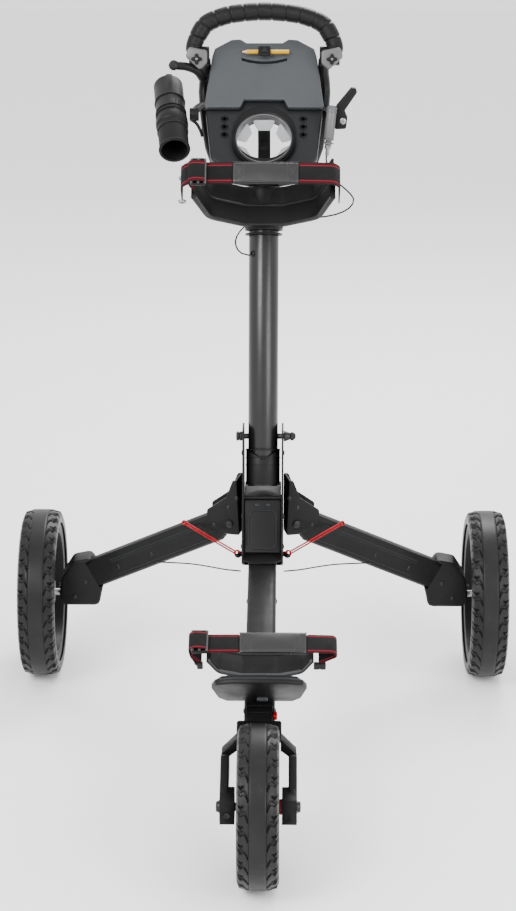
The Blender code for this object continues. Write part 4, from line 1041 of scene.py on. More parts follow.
@dataclass
class Wheel:
    """A wheel: treaded tyre and rim with ribbed spokes."""

    name: str
    centre: Vector
    radius: float
    width: float
    outward: tuple[int, ...]
    pitches: int = 32
    rib: float = 0.40
    groove: float = 0.0030

    def place(self, side: int = 1) -> Matrix:
        """Local Z along the axle."""
        return pointing(self.centre, RIGHT * side)

    def groove_depth(self, turn: float, across: float) -> float:
        """How deep the tread is cut, from a centre line and curved cuts to both shoulders.

        Args:
            turn: The place round the tyre, in pitches of the tread.
            across: The place across it, as a share of the half width.

        Returns:
            The depth, as a share of the groove's full depth.
        """
        share = abs(across)
        line = exp(-(((share - self.rib) / 0.022) ** 2)) * 0.45
        if share < self.rib + 0.03:
            return line
        reach = (share - self.rib) / (1 - self.rib)
        bend = 0.80 * reach + 0.30 * sin(pi * min(1.0, reach * 1.6))
        phase = (turn + bend + (0.5 if across < 0 else 0.0)) % 1.0
        off = abs(phase - 0.5)
        second = abs((phase + 0.30) % 1.0 - 0.5)
        main_cut = 1 - smoothstep(0.085, 0.135, off)
        side_cut = (1 - smoothstep(0.045, 0.080, second)) * smoothstep(0.35, 0.5, reach)
        cut = max(main_cut, side_cut)
        return max(line, cut * smoothstep(0.03, 0.09, reach) * (1 - 0.75 * smoothstep(0.86, 1.05, share)))

    def build_tyre(self) -> None:
        """The carcass with its tread, in one closed surface."""
        half, r = self.width / 2, self.radius
        crown = [k / 22 for k in range(-22, 23)]
        bead = 0.765 * r
        across, radii = [], []
        for share in crown:
            off = abs(share)
            drop = 0.0035 * smoothstep(0.42, 0.90, off) + 0.0075 * smoothstep(0.86, 1.0, off) ** 2
            across.append(share * half)
            radii.append(r - drop)
        wall = [(half * 0.995, r - 0.0165), (half * 0.985, r - 0.0195), (half * 1.0, r - 0.0208),
                (half * 0.97, r - 0.0228), (half * 0.90, (r + bead) / 2 - 0.004), (half * 0.86, bead + 0.0035),
                (half * 0.84, bead)]
        profile = [(radius, -x) for x, radius in reversed(wall)]
        profile += [*zip(radii, across), *((radius, x) for x, radius in wall)]
        first = len(wall)
        steps = self.pitches * 24
        verts, faces, count = [], [], len(profile)
        for k in range(steps):
            a = 2 * pi * k / steps
            for i, (radius, x) in enumerate(profile):
                if first <= i < first + len(crown):
                    radius -= self.groove * self.groove_depth(k / 24, crown[i - first])
                verts.append((radius * cos(a), radius * sin(a), x))
        for k in range(steps):
            n = (k + 1) % steps
            for i in range(count):
                j = (i + 1) % count
                faces.append((k * count + i, n * count + i, n * count + j, k * count + j))
        piece(f"{self.name}_treaded_tyre", mesh_from(verts, faces, self.place()), TYRE_RUBBER,
              f"{self.name}_wheel", [f"{self.name}_tyre"], 40)

    def build_rim(self) -> None:
        """The rim, with a raised ring and spoke ribs on the sides that show."""
        dress(f"{self.name}_rim", MOULDED_BLACK)
        half = self.width / 2
        for side in self.outward:
            label = {1: "right", -1: "left"}[side]
            rim = 0.74 * self.radius
            rings = [
                lathe([(rim, half * 0.20), (rim + 0.002, half * 0.80), (rim - 0.0012, half * 0.84),
                       (rim - 0.0035, half * 0.72), (rim - 0.003, half * 0.20)], 72, self.place(side), True)
            ]
            taper = [(0.018, -0.0035), (rim - 0.001, -0.0055), (rim - 0.001, 0.0055), (0.018, 0.0035)]
            spoke = slab([fillet(taper, 0.001, 2)], 0.010, 0.002, Matrix())
            for k in range(6):
                copy = spoke.copy()
                turn = Matrix.Rotation(2 * pi * (k + 0.5) / 6, 4, "Z")
                copy.transform(self.place(side) @ turn @ Matrix.Translation((0, 0, 0.0125)))
                rings.append(copy)
            piece(f"{self.name}_{label}_spoke_ribs", joined(rings), MOULDED_BLACK, f"{self.name}_wheel")

    def build(self) -> None:
        """Builds the whole wheel."""
        self.build_tyre()
        self.build_rim()


@dataclass
class Strap:
    """Flat webbing on one side of a cradle."""

    name: str
    place: Matrix
    path: Sequence[Point2]
    width: float
    body: str
    node: str
    thick: float = 0.0021

    def build(self) -> None:
        """Lays the webbing along its path."""
        line = [self.place @ Vector((x, y, 0)) for x, y in fillet(self.path, 0.014, 6, False)]
        points = evenly(line, 0.0025)
        wide = self.place.to_3x3() @ UP
        mesh = ribbon(points, wide, self.width, self.thick)
        piece(self.name, mesh, WEBBING, self.body, [self.node], 60)


@dataclass
class Pad:
    """A padded leatherette sleeve on a strap, with bound edges and cross-stitched ends."""

    name: str
    node: str
    place: Matrix
    length: float
    width: float
    thick: float
    body: str
    rise: float = 0.0032

    def cushion(self) -> bpy.types.Mesh:
        """The sleeve's stuffed shape, pressed out by cloth pressure and held to a small rise.

        Returns:
            The closed mesh, flat on the pad's own plane.
        """
        flat = rounded(self.length - 0.001, self.width - 0.001, 0.004)
        start = slab([flat], self.thick - 0.0012, 0.0020, Matrix())
        thing = bpy.data.objects.new(self.name, start)
        bpy.context.scene.collection.objects.link(thing)
        remesh = thing.modifiers.new("even", "REMESH")
        remesh.mode, remesh.voxel_size = "VOXEL", 0.0022
        mesh = baked(thing)
        rest = np.array([v.co for v in mesh.vertices])
        thing = bpy.data.objects.new(self.name, mesh)
        bpy.context.scene.collection.objects.link(thing)
        edge = thing.vertex_groups.new(name="sewn")
        for i, co in enumerate(rest):
            if abs(co[0]) > self.length / 2 - 0.004 or abs(co[1]) > self.width / 2 - 0.0025:
                edge.add([i], 1.0, "REPLACE")
        cloth = thing.modifiers.new("cloth", "CLOTH")
        cloth.settings.use_pressure = True
        cloth.settings.uniform_pressure_force = 4.0
        cloth.settings.vertex_group_mass = "sewn"
        cloth.settings.effector_weights.gravity = 0.0
        cloth.point_cache.frame_start, cloth.point_cache.frame_end = 1, 20
        for step in range(1, 21):
            bpy.context.scene.frame_set(step)
        graph = bpy.context.evaluated_depsgraph_get()
        shape = thing.evaluated_get(graph).to_mesh()
        settled = np.array([v.co for v in shape.vertices])
        thing.evaluated_get(graph).to_mesh_clear()
        thing.modifiers.clear()
        bpy.context.scene.frame_set(1)
        move = settled - rest
        size = np.linalg.norm(move, axis=1)
        keep = np.minimum(1.0, self.rise * 0.5 / np.maximum(size, 1e-9))
        made = rest + move * keep[:, None]
        crown_x = np.clip(1 - np.abs(rest[:, 0]) / (self.length / 2 - 0.010), 0, 1)
        crown_y = np.clip(1 - np.abs(rest[:, 1]) / (self.width / 2), 0, 1)
        lift = self.rise * 0.5 * np.power(crown_x, 0.35) * np.power(crown_y, 0.5)
        made[:, 2] += np.where(rest[:, 2] > 0, lift, 0)
        for vertex, co in zip(mesh.vertices, made):
            vertex.co = co
        finer = thing.modifiers.new("finer", "SUBSURF")
        finer.levels = finer.render_levels = 1
        return baked(thing)

    def build(self) -> None:
        """The cushion, its binding and its stitches."""
        mesh = self.cushion()
        surface = Dropped(mesh)
        mesh.transform(self.place)
        thing = piece(self.name, mesh, PAD_LEATHER, self.body, [self.node], 60)
        x, y, high = self.length / 2, self.width / 2, 0.03
        lines = []
        for side in (-1, 1):
            inner, outer, edge = side * (x - 0.018), side * (x - 0.003), y - 0.0055
            lines += [[(inner, -edge), (inner, edge)], [(outer, -edge), (outer, edge)],
                      [(inner, -edge), (outer, edge)], [(inner, edge), (outer, -edge)]]
            lines.append([(-x + 0.004, side * (y - 0.0042)), (x - 0.004, side * (y - 0.0042))])
        laid = []
        for line in lines:
            points = evenly([Vector((*p, high)) for p in line], 0.001)
            laid.append([self.place @ p for p in surface.line(points, Vector((0, 0, -1)), 0.0002)])
        piece(f"{self.name}_stitches", Repeat.stitches(laid, THREAD), THREAD, self.body)
        bound = []
        for side in (-1, 1):
            shares = (-1, -0.5, 0, 0.5, 1)
            points = [self.place @ Vector((a * x * 0.985, side * (y - 0.0004), 0.0004)) for a in shares]
            bound.append(tube(evenly(points, 0.004), 0.0014, 10))
        piece(f"{self.name}_binding", joined(bound), TAPE_BLACK, self.body)


@dataclass
class Cradle:
    """A cradle's strap set: its two webbings, pad, buckle and loose ends."""

    name: str
    body: str
    place: Matrix
    left: Sequence[Point2]
    right: Sequence[Point2]
    width: float
    pad_size: tuple[float, float, float]
    pad_centre: Point2
    buckle: Point2

    def flat(self, x: float, y: float) -> Matrix:
        """A placement with local X along the strap, local Y across it and local Z off the cart.

        Args:
            x: The origin's distance right of the cradle's middle.
            y: The origin's distance off the cradle's floor.

        Returns:
            The placement.
        """
        turn = Matrix.Rotation(-pi / 2, 4, "X")
        return self.place @ Matrix.Translation((x, y, 0)) @ turn @ Matrix.Rotation(pi, 4, "Z")

    def build_buckle(self) -> None:
        """The two-bar buckle through which the webbing returns."""
        place = self.flat(*self.buckle)
        wide, tall = self.width + 0.008, 0.025
        window = rounded(0.0062, self.width + 0.001, 0.0015)
        holes = [[(x + dx, y) for x, y in window] for dx in (-0.0058, 0.0058)]
        frame_mesh = slab([rounded(tall, wide, 0.004), *holes], 0.0046, 0.0012, place)
        reach = wide / 2 - 0.002
        bars = [tube([place @ Vector((dx, -reach, 0.0020)), place @ Vector((dx, reach, 0.0020))], 0.0021, 12)
                for dx in (-0.0105, 0.0, 0.0105)]
        piece(f"{self.name}_buckle_frame", frame_mesh, MOULDED_BLACK, self.body,
              [f"{self.name}_buckle"])
        piece(f"{self.name}_buckle_bars", joined(bars), CASING_GREY, self.body)

    def build_tail(self) -> None:
        """The strap's loose end, which hangs behind the buckle."""
        x, y = self.buckle
        top = [(x + 0.010, y + 0.0036), (x - 0.006, y + 0.0062), (x - 0.016, y + 0.001),
               (x - 0.0135, y - 0.016), (x - 0.006, y - 0.034)]
        points = [self.place @ Vector((a, b, 0)) for a, b in fillet(top, 0.01, 6, False)]
        mesh = ribbon(evenly(points, 0.0025), self.place.to_3x3() @ UP, self.width * 0.94, 0.0018)
        piece(f"{self.name}_strap_tail", mesh, WEBBING, self.body, sharp=60)
        end = self.place @ Vector((*top[-1], 0))
        down = (points[-1] - points[-2]).normalized()
        place = axes(end, self.place.to_3x3() @ UP, down)
        clip = slab([rounded(self.width * 0.97, 0.007, 0.001)], 0.0030, 0.0008, place)
        piece(f"{self.name}_tail_clip", clip, DARK_STEEL, self.body)

    def build(self) -> None:
        """Builds every soft piece of the cradle."""
        for label, path in (("left", self.left), ("right", self.right)):
            Strap(f"{self.name}_webbing_{label}", self.place, path, self.width, self.body,
                  f"{self.name}_strap_{label}").build()
        (start, left_up), (end, right_up) = self.left[0], self.right[0]
        inner = [(start - 0.002, left_up - 0.0006), (self.pad_centre[0], left_up - 0.0006),
                 (end + 0.002, right_up - 0.0006)]
        line = evenly([self.place @ Vector((*p, 0)) for p in inner], 0.003)
        piece(f"{self.name}_webbing_inner", ribbon(line, self.place.to_3x3() @ UP, self.width * 0.96, 0.0018),
              WEBBING, self.body, sharp=60)
        Pad(f"{self.name}_cushion", f"{self.name}_pad", self.flat(*self.pad_centre), *self.pad_size,
            self.body).build()
        self.build_buckle()
        self.build_tail()


@dataclass
class Cradles:
    """The two cradles that hold a bag: rims, ribs and strap sets."""

    upper: Matrix = field(default_factory=lambda: across(0.036, 0.797, UPPER_CRADLE_LEAN))
    lower: Matrix = field(default_factory=lambda: across(0.519, 0.2262, LOWER_CRADLE_LEAN))

    @staticmethod
    def saddle_line(half_width: float, depth: float, floor_half: float, corner: float) -> list[Point2]:
        """A wide shallow U.

        Args:
            half_width: Half its width at the top.
            depth: How deep it is.
            floor_half: Half the width of its flat floor.
            corner: The radius of its bends.

        Returns:
            Its points from left to right.
        """
        half = [(floor_half, 0), (half_width * 0.80, depth * 0.27), (half_width, depth)]
        right = fillet([(0, 0), *half], corner, 5, False)[1:]
        return [(-x, y) for x, y in reversed(right)] + right

    def rim(self, name: str, place: Matrix, line: Sequence[Point2], z: float, body: str, finish: Finish,
            slot: str) -> None:
        """A raised bead along both edges of the cradle's band.

        Args:
            name: The piece's name.
            place: The cradle's placement.
            line: The band's line.
            z: Half the distance between the beads.
            body: The body that it moves with.
            finish: Its material.
            slot: Not used.
        """
        beads = []
        for edge in (-z, z):
            points = [place @ Vector((x, y, edge)) for x, y in line]
            beads.append(tube(evenly(points, 0.004), 0.0017, 10))
        piece(name, joined(beads), finish, body)

    def build(self) -> None:
        """Builds both cradles."""
        dress("upper_saddle", MOULDED_BLACK)
        dress("lower_saddle", WING_GREY)
        upper_line = self.saddle_line(0.108, 0.100, 0.030, 0.030)
        inner = [(x * 0.966, y + 0.0042) for x, y in upper_line]
        self.rim("upper_saddle_rim", self.upper, inner, 0.0165, "upper", CASING_DARK, "black_plastic")
        lower_line = self.saddle_line(0.075, 0.036, 0.027, 0.014)
        self.rim("lower_saddle_rim", self.lower, [(x, y + 0.0036) for x, y in lower_line], 0.0185, "frame",
                 CASING_GREY, "wing_grey")
        outer = [(x * 1.03, y - 0.0020) for x, y in upper_line]
        liner = [self.upper @ Vector((x, y + 0.0012, -0.0345)) for x, y in upper_line]
        band = ribbon(evenly(liner, 0.004), self.upper.to_3x3() @ UP, 0.033, 0.0042)
        piece("upper_saddle_liner", band, MOULDED_BLACK, "upper", sharp=60)
        self.rim("upper_saddle_outer_rim", self.upper, outer, 0.0150, "upper", CASING_DARK, "black_plastic")
        ribs = []
        for side in (-1, 1):
            for low, high in (((0.030, -0.024), (0.050, 0.004)), ((0.050, 0.004), (0.058, -0.010)),
                              ((0.058, -0.010), (0.078, 0.012))):
                a, b = (self.upper @ Vector((side * x, y, -0.0085)) for x, y in (low, high))
                ribs.append(tube([a, b], 0.0022, 10))
        piece("upper_saddle_truss", joined(ribs), MOULDED_BLACK, "upper")
        up = 0.133
        Cradle("upper", "upper", shifted(self.upper, z=-0.009),
               [(-0.048, up), (-0.118, up - 0.002), (-0.127, up - 0.016), (-0.127, 0.070)],
               [(0.056, up), (0.110, up - 0.002), (0.1185, up - 0.014), (0.1185, 0.066)],
               0.038, (0.1034, 0.036, 0.008), (0.0040, up), (-0.100, up + 0.0035)).build()
        up = 0.054
        Cradle("lower", "frame", self.lower,
               [(-0.0313, up), (-0.094, up - 0.001), (-0.102, up - 0.012), (-0.086, 0.026)],
               [(0.069, up), (0.108, up - 0.001), (0.113, up - 0.010), (0.086, 0.026)],
               0.033, (0.0997, 0.038, 0.009), (0.01885, up), (-0.088, up + 0.0035)).build()
        self.small_clips()

    def small_clips(self) -> None:
        """The rings on the upper strap's fold and the clips under the lower strap."""
        place = shifted(self.upper, z=-0.009)
        ring = [place @ Vector((-0.127 + 0.0052 * cos(a), 0.074 + 0.0052 * sin(a), 0)) for a in
                (2 * pi * k / 24 for k in range(25))]
        loops = [tube([p + (place.to_3x3() @ UP) * dz for p in ring], 0.0015, 8) for dz in (-0.020, 0.020)]
        piece("upper_strap_rings", joined(loops), ZINC, "upper")
        clips = []
        for x in (-0.088, 0.083, 0.092):
            place = shifted(self.lower, x, 0.022, 0.016)
            clips.append(slab([rounded(0.009, 0.014, 0.002)], 0.005, 0.0012, place))
        piece("lower_strap_clips", joined(clips), MOULDED_BLACK, "frame")


@dataclass
class FoldingFrame:
    """The lower tube, its hub with wings, the red struts and the small hardware."""

    def build(self) -> None:
        """Dresses the solids and adds their hardware."""
        for node in ("lower_tube", "hub_channel", "left_wing", "right_wing", "strut_slider"):
            dress(node, POWDER_BLACK)
        for node in ("fold_pin", "left_leg_pin", "right_leg_pin", "front_axle"):
            dress(node, DARK_STEEL, 0.0004)
        for node in ("left_axle", "right_axle", "left_brake_pin", "right_brake_pin"):
            dress(node, ZINC, 0.0004)
        self.hub_hardware()
        self.struts()
        self.wires()

    def hub_hardware(self) -> None:
        """The fold pin's head and cone nut, the rivets of the wings and the hub's cross-bar."""
        head = screw(0.0075, 0.0034)
        head.transform(pointing(at(-0.0400, PIN_FORWARD, PIN_UP), -RIGHT))
        piece("fold_pin_head", head, DARK_STEEL, "frame")
        nut = lathe([(0, 0.0050), (0.0030, 0.0050), (0.0068, 0.0012), (0.0072, -0.0024), (0.0050, -0.004),
                     (0, -0.004)], 28, pointing(at(0.0475, PIN_FORWARD, PIN_UP), RIGHT))
        piece("fold_pin_cone_nut", nut, DARK_STEEL, "frame")
        self.hub_insert()
        spots = []
        for side, _ in SIDES:
            for forward, up in ((0.128, 0.430), (0.150, 0.330), (0.196, 0.295)):
                spots.append((at(side * 0.0330, forward, up), RIGHT * side))
            spots.append((at(side * 0.0223, 0.300, 0.2421), RIGHT * side))
            spots.append((at(side * 0.0223, 0.590, 0.1857), RIGHT * side))
        heads = Repeat.studs(spots, rivet(0.0042, 0.0018), DARK_STEEL)
        piece("hub_rivets", heads, DARK_STEEL, "frame")
        for side, label in SIDES:
            surface = Dropped(frame["nodes"][f"{label}_wing"].data)
            found = []
            for x, up in ((0.0430, 0.352), (0.0560, 0.334), (0.0800, 0.300)):
                start = at(side * x, 0.40, up)
                hit = surface.tree.ray_cast(start, Vector((0, 1, 0)))
                if hit[0] is not None:
                    found.append((hit[0], hit[1] if hit[1].y < 0 else -hit[1]))
            if found:
                piece(f"{label}_wing_rivets", Repeat.studs(found, rivet(0.0030, 0.0014), DARK_STEEL),
                      DARK_STEEL, "frame")

    def hub_insert(self) -> None:
        """The dark insert that closes the hub under the folding tube, with its cross-bar and pocket."""
        half = 0.0294
        bar = tube([at(-half, 0.1610, 0.3650), at(half, 0.1610, 0.3650)], 0.0032, 20)
        piece("hub_cross_bar", bar, MOULDED_BLACK, "frame")
        shelf = slab([rounded(2 * half, 0.084, 0.003)], 0.0040, 0.0012,
                     axes(at(0, 0.117, 0.3625), RIGHT, FORWARD))
        piece("hub_insert_shelf", shelf, MOULDED_BLACK, "frame")
        top, foot = at(0, 0.1640, 0.3620), at(0, 0.2190, 0.2925)
        slope = axes((top + foot) / 2, RIGHT, top - foot)
        high = (top - foot).length
        panel = slab([rounded(2 * half, high, 0.003)], 0.0036, 0.0012, slope)
        piece("hub_insert_panel", panel, MOULDED_BLACK, "frame")
        pocket = [(x, y - 0.006) for x, y in rounded(0.044, high - 0.024, 0.013, 8)]
        line = [shifted(slope, z=0.0020) @ Vector((*p, 0)) for p in pocket]
        bead = tube(evenly([*line, line[0]], 0.003), 0.0013, 10)
        piece("hub_insert_pocket_rim", bead, CASING_DARK, "frame")
        spots = [(shifted(slope, x, high / 2 - 0.008, 0.0018) @ Vector(), slope.to_3x3() @ UP)
                 for x in (-0.009, 0.009)]
        heads = Repeat.studs(spots, screw(0.0030, 0.0014), DARK_STEEL)
        piece("hub_insert_screws", heads, DARK_STEEL, "frame")

    def struts(self) -> None:
        """The red braces as two thin bars each, with an eye at both ends."""
        for side, label in SIDES:
            outer = at(side * 0.1295, 0.087, 0.296)
            inner = at(side * 0.0405, 0.160, 0.269)
            along = (outer - inner).normalized()
            square = along.cross(UP).normalized()
            lift = square.cross(along).normalized() * 0.0021
            if lift.z < 0:
                lift.negate()
            parts = []
            for up in (lift, -lift):
                start, end = inner + along * 0.004 + up, outer - along * 0.004 + up
                parts.append(tube(evenly([start, end], 0.01), 0.0013, 12))
            for end, hole in ((inner, 0.0047), (outer, 0.0022)):
                rim = hole + 0.0022
                parts.append(lathe([(hole, -0.0016), (rim - 0.0004, -0.0016), (rim, -0.0010), (rim, 0.0010),
                                    (rim - 0.0004, 0.0016), (hole, 0.0016)], 28, pointing(end, square), True))
            piece(f"{label}_strut_bars", joined(parts), RED_ENAMEL, f"{label}_strut",
                  [f"{label}_strut"])

    def wires(self) -> None:
        """The thin brake wires, each laid from the hub out to its leg and freed from its body."""
        for side, label in SIDES:
            path = [(0.0345, 0.208, 0.2575), (0.060, 0.197, 0.2560), (0.090, 0.172, 0.2520),
                    (0.120, 0.141, 0.2445), (0.160, 0.105, 0.233), (0.176, 0.080, 0.224)]
            line = evenly(curve_through([at(side * x, f, u) for x, f, u in path]), 0.003)
            thing = piece(f"{label}_brake_wire_bending", tube(line, 0.0012, 10), HOSE_BLACK, "frame",
                          [f"{label}_brake_wire"])
            unparent(thing)
            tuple(line[len(line) // 3])
            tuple(line[-1])
            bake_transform(thing)


def unparent(thing: bpy.types.Object) -> None:
    """Frees a piece from its body."""
    thing.parent = None
    thing.matrix_world = Matrix()
    if "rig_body" in thing:
        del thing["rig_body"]


@dataclass
class Leg:
    """A grooved, flattened extrusion from the hub to a rear wheel, with its end bracket."""

    side: int
    label: str
    root: tuple[float, float, float] = (0.088, 0.085, 0.286)
    tip: tuple[float, float, float] = (0.282, 0.012, 0.181)

    def place(self) -> Matrix:
        """A placement at the leg's pivot.

        Returns:
            Local X runs out along the leg, local Y up across it and local Z forward.
        """
        root, tip = (at(self.side * p[0], p[1], p[2]) for p in (self.root, self.tip))
        along = (tip - root).normalized()
        pivot = root + along * ((0.050 * self.side - root.x) / along.x)
        facing = axes(pivot, along, UP)
        return facing if self.side > 0 else facing @ Matrix.Diagonal((1, 1, -1, 1))

    def build(self) -> None:
        """The raised lines of the extrusion on both faces, in a lighter grey than the leg that paints highlight
        lines on it, and the fixings at its end.
        """
        dress(f"{self.label}_leg", POWDER_BLACK)
        dress(f"{self.label}_leg_end", MOULDED_BLACK)
        surface = Dropped(frame["nodes"][f"{self.label}_leg"].data)
        place = self.place()
        facing = (place.to_3x3() @ UP).normalized()
        highlight_lines = []
        for face in (1, -1):
            for y, size in ((0.0125, 0.0011), (0.0085, 0.0008), (-0.0150, 0.0010)):
                points = [place @ Vector((0.048 + 0.0025 * k, y, 0.05 * face)) for k in range(76)]
                laid = surface.line(points, -facing * face, -0.0002)
                if len(laid) > 20:
                    highlight_lines.append(tube(evenly(laid, 0.006), size, 8))
        if highlight_lines:
            # The raised lines take CASING_DARK, a lighter grey than the leg, as painted highlight lines along
            # its faces.
            piece(f"{self.label}_leg_lines", joined(highlight_lines), CASING_DARK, f"{self.label}_leg")
        found = []
        for x in (0.160, 0.228):
            start = place @ Vector((x, -0.004, 0.06))
            hit = surface.tree.ray_cast(start, -facing)
            if hit[0] is not None:
                found.append((hit[0], facing))
        bracket = Dropped(frame["nodes"][f"{self.label}_leg_end"].data)
        for x, up in ((0.290, 0.192), (0.282, 0.172), (0.300, 0.166), (0.318, 0.140)):
            hit = bracket.tree.ray_cast(at(self.side * x, 0.2, up), Vector((0, 1, 0)))
            if hit[0] is not None:
                found.append((hit[0], FORWARD))
        if found:
            heads = Repeat.studs(found, screw(0.0034, 0.0016), DARK_STEEL)
            piece(f"{self.label}_leg_screws", heads, DARK_STEEL, f"{self.label}_leg")


@dataclass
class FrontEnd:
    """The neck, the fork, the bag's foot plate and the red release tab."""

    def build(self) -> None:
        """Dresses the solids and adds ribs, bolts and the bushing."""
        for node in ("front_neck", "front_fork", "bag_rest"):
            dress(node, MOULDED_BLACK)
        dress("release_tab", RED_ENAMEL)
        first, pitch = 0.6090, 0.0055
        collar, bore = rounded(0.0345, 0.0400, 0.005), rounded(0.0320, 0.0375, 0.004)
        upward = Vector((0, -sin(NECK_SLOPE), cos(NECK_SLOPE)))
        ribs = []
        for k in range(4):
            forward = first + pitch * k
            drop = tan(NECK_SLOPE) * (forward - first)
            place = axes(at(0, forward, 0.1835 - drop * 0.3), RIGHT, upward)
            ribs.append(slab([collar, bore], 0.0026, 0.0008, place))
        piece("neck_ribs", joined(ribs), MOULDED_BLACK, "frame")
        eye = lathe([(0, 0.0002), (0.0026, 0.0002), (0.0026, 0.0012), (0.0044, 0.0014), (0.0050, 0.0002),
                     (0.0050, -0.0030), (0, -0.0030)], 28, pointing(at(-0.0440, 0.7785, 0.1120), FORWARD))
        piece("axle_block_eye", eye, DARK_STEEL, "fork")
        bush = lathe([(0.0092, 0), (0.0110, 0.0006), (0.0110, 0.0072), (0.0092, 0.0078), (0.0066, 0.0078),
                      (0.0066, 0)], 28, pointing(at(0.0292, 0.758, 0.1155), RIGHT), True)
        piece("front_axle_bushing", bush, RED_ENAMEL, "fork")
        rest = across(0.6035, 0.2135, FOOT_PLATE_LEAN)
        half = [(0, -0.010), (0.048, -0.010), (0.060, 0.008), (0.068, 0.060), (0.062, 0.084), (0.040, 0.092),
                (0, 0.093)]
        outline = mirrored([half[0], *fillet(half[1:-1], 0.008, 4, False), half[-1]])
        rim = [rest @ Vector((x * 0.975, 0.0415 + (y - 0.0415) * 0.975, -0.0036)) for x, y in outline]
        bead = tube(evenly([*rim, rim[0]], 0.004), 0.0016, 10)
        piece("bag_rest_rim", bead, CASING_DARK, "frame")
        latch = slab([rounded(0.016, 0.010, 0.002)], 0.005, 0.0012, shifted(rest, 0.004, 0.010, 0.0055))
        piece("bag_rest_latch", latch, CASING_GREY, "frame")
        ribs = []
        for x in (-0.045, -0.030, -0.015, 0.0, 0.015, 0.030, 0.045):
            ends = [rest @ Vector((x, y, -0.0042)) for y in (0.012, 0.080)]
            ribs.append(tube(ends, 0.0012, 8))
        piece("bag_rest_treads", joined(ribs), MOULDED_BLACK, "frame")


@dataclass
class Mast:
    """The round upper tube with its sleeve, collar, grommet and cable."""

    radius: float = 0.0239

    def along(self, distance: float) -> Matrix:
        """Local Z up the tube; local X runs right."""
        climb = Vector((0, cos(TUBE_LEAN), sin(TUBE_LEAN)))
        return pointing(at(0, PIN_FORWARD, PIN_UP) + climb * distance, climb)

    def build(self) -> None:
        """Dresses the tube and adds its small pieces."""
        dress("upper_tube", GLOSS_BLACK)
        dress("tube_sleeve", MOULDED_BLACK)
        dress("upper_collar", MOULDED_BLACK)
        dress("brake_cable", HOSE_BLACK, edge=0.0002)
        place = self.along(0.334)
        bands = [lathe([(0.0250, z - 0.0012), (0.0296, z - 0.0012), (0.0300, z), (0.0296, z + 0.0012),
                        (0.0250, z + 0.0012)], 56, place, True) for z in (-0.0100, 0.0100)]
        piece("collar_beads", joined(bands), MOULDED_BLACK, "upper")
        spots = [(place @ Vector((side * 0.0286, 0, 0)), RIGHT * side) for side, _ in SIDES]
        piece("collar_screws", Repeat.studs(spots, screw(0.0044, 0.0024), ZINC), ZINC, "upper")
        entry = self.along(0.292)
        facing = pointing(entry @ Vector((-self.radius * 0.72, -self.radius * 0.66, 0)),
                          entry.to_3x3() @ Vector((-0.74, -0.67, 0)))
        grommet = lathe([(0.0026, -0.002), (0.0026, 0.0016), (0.0038, 0.0024), (0.0052, 0.0012),
                         (0.0052, -0.002)], 24, facing, True)
        piece("cable_grommet", grommet, MOULDED_BLACK, "upper")
        rings = [lathe([(0.0244, z - 0.0008), (0.0279, z - 0.0008), (0.0279, z + 0.0008), (0.0244, z + 0.0008)],
                       48, self.along(0), True) for z in (-0.046, -0.034, -0.022)]
        piece("sleeve_ribs", joined(rings), MOULDED_BLACK, "upper")


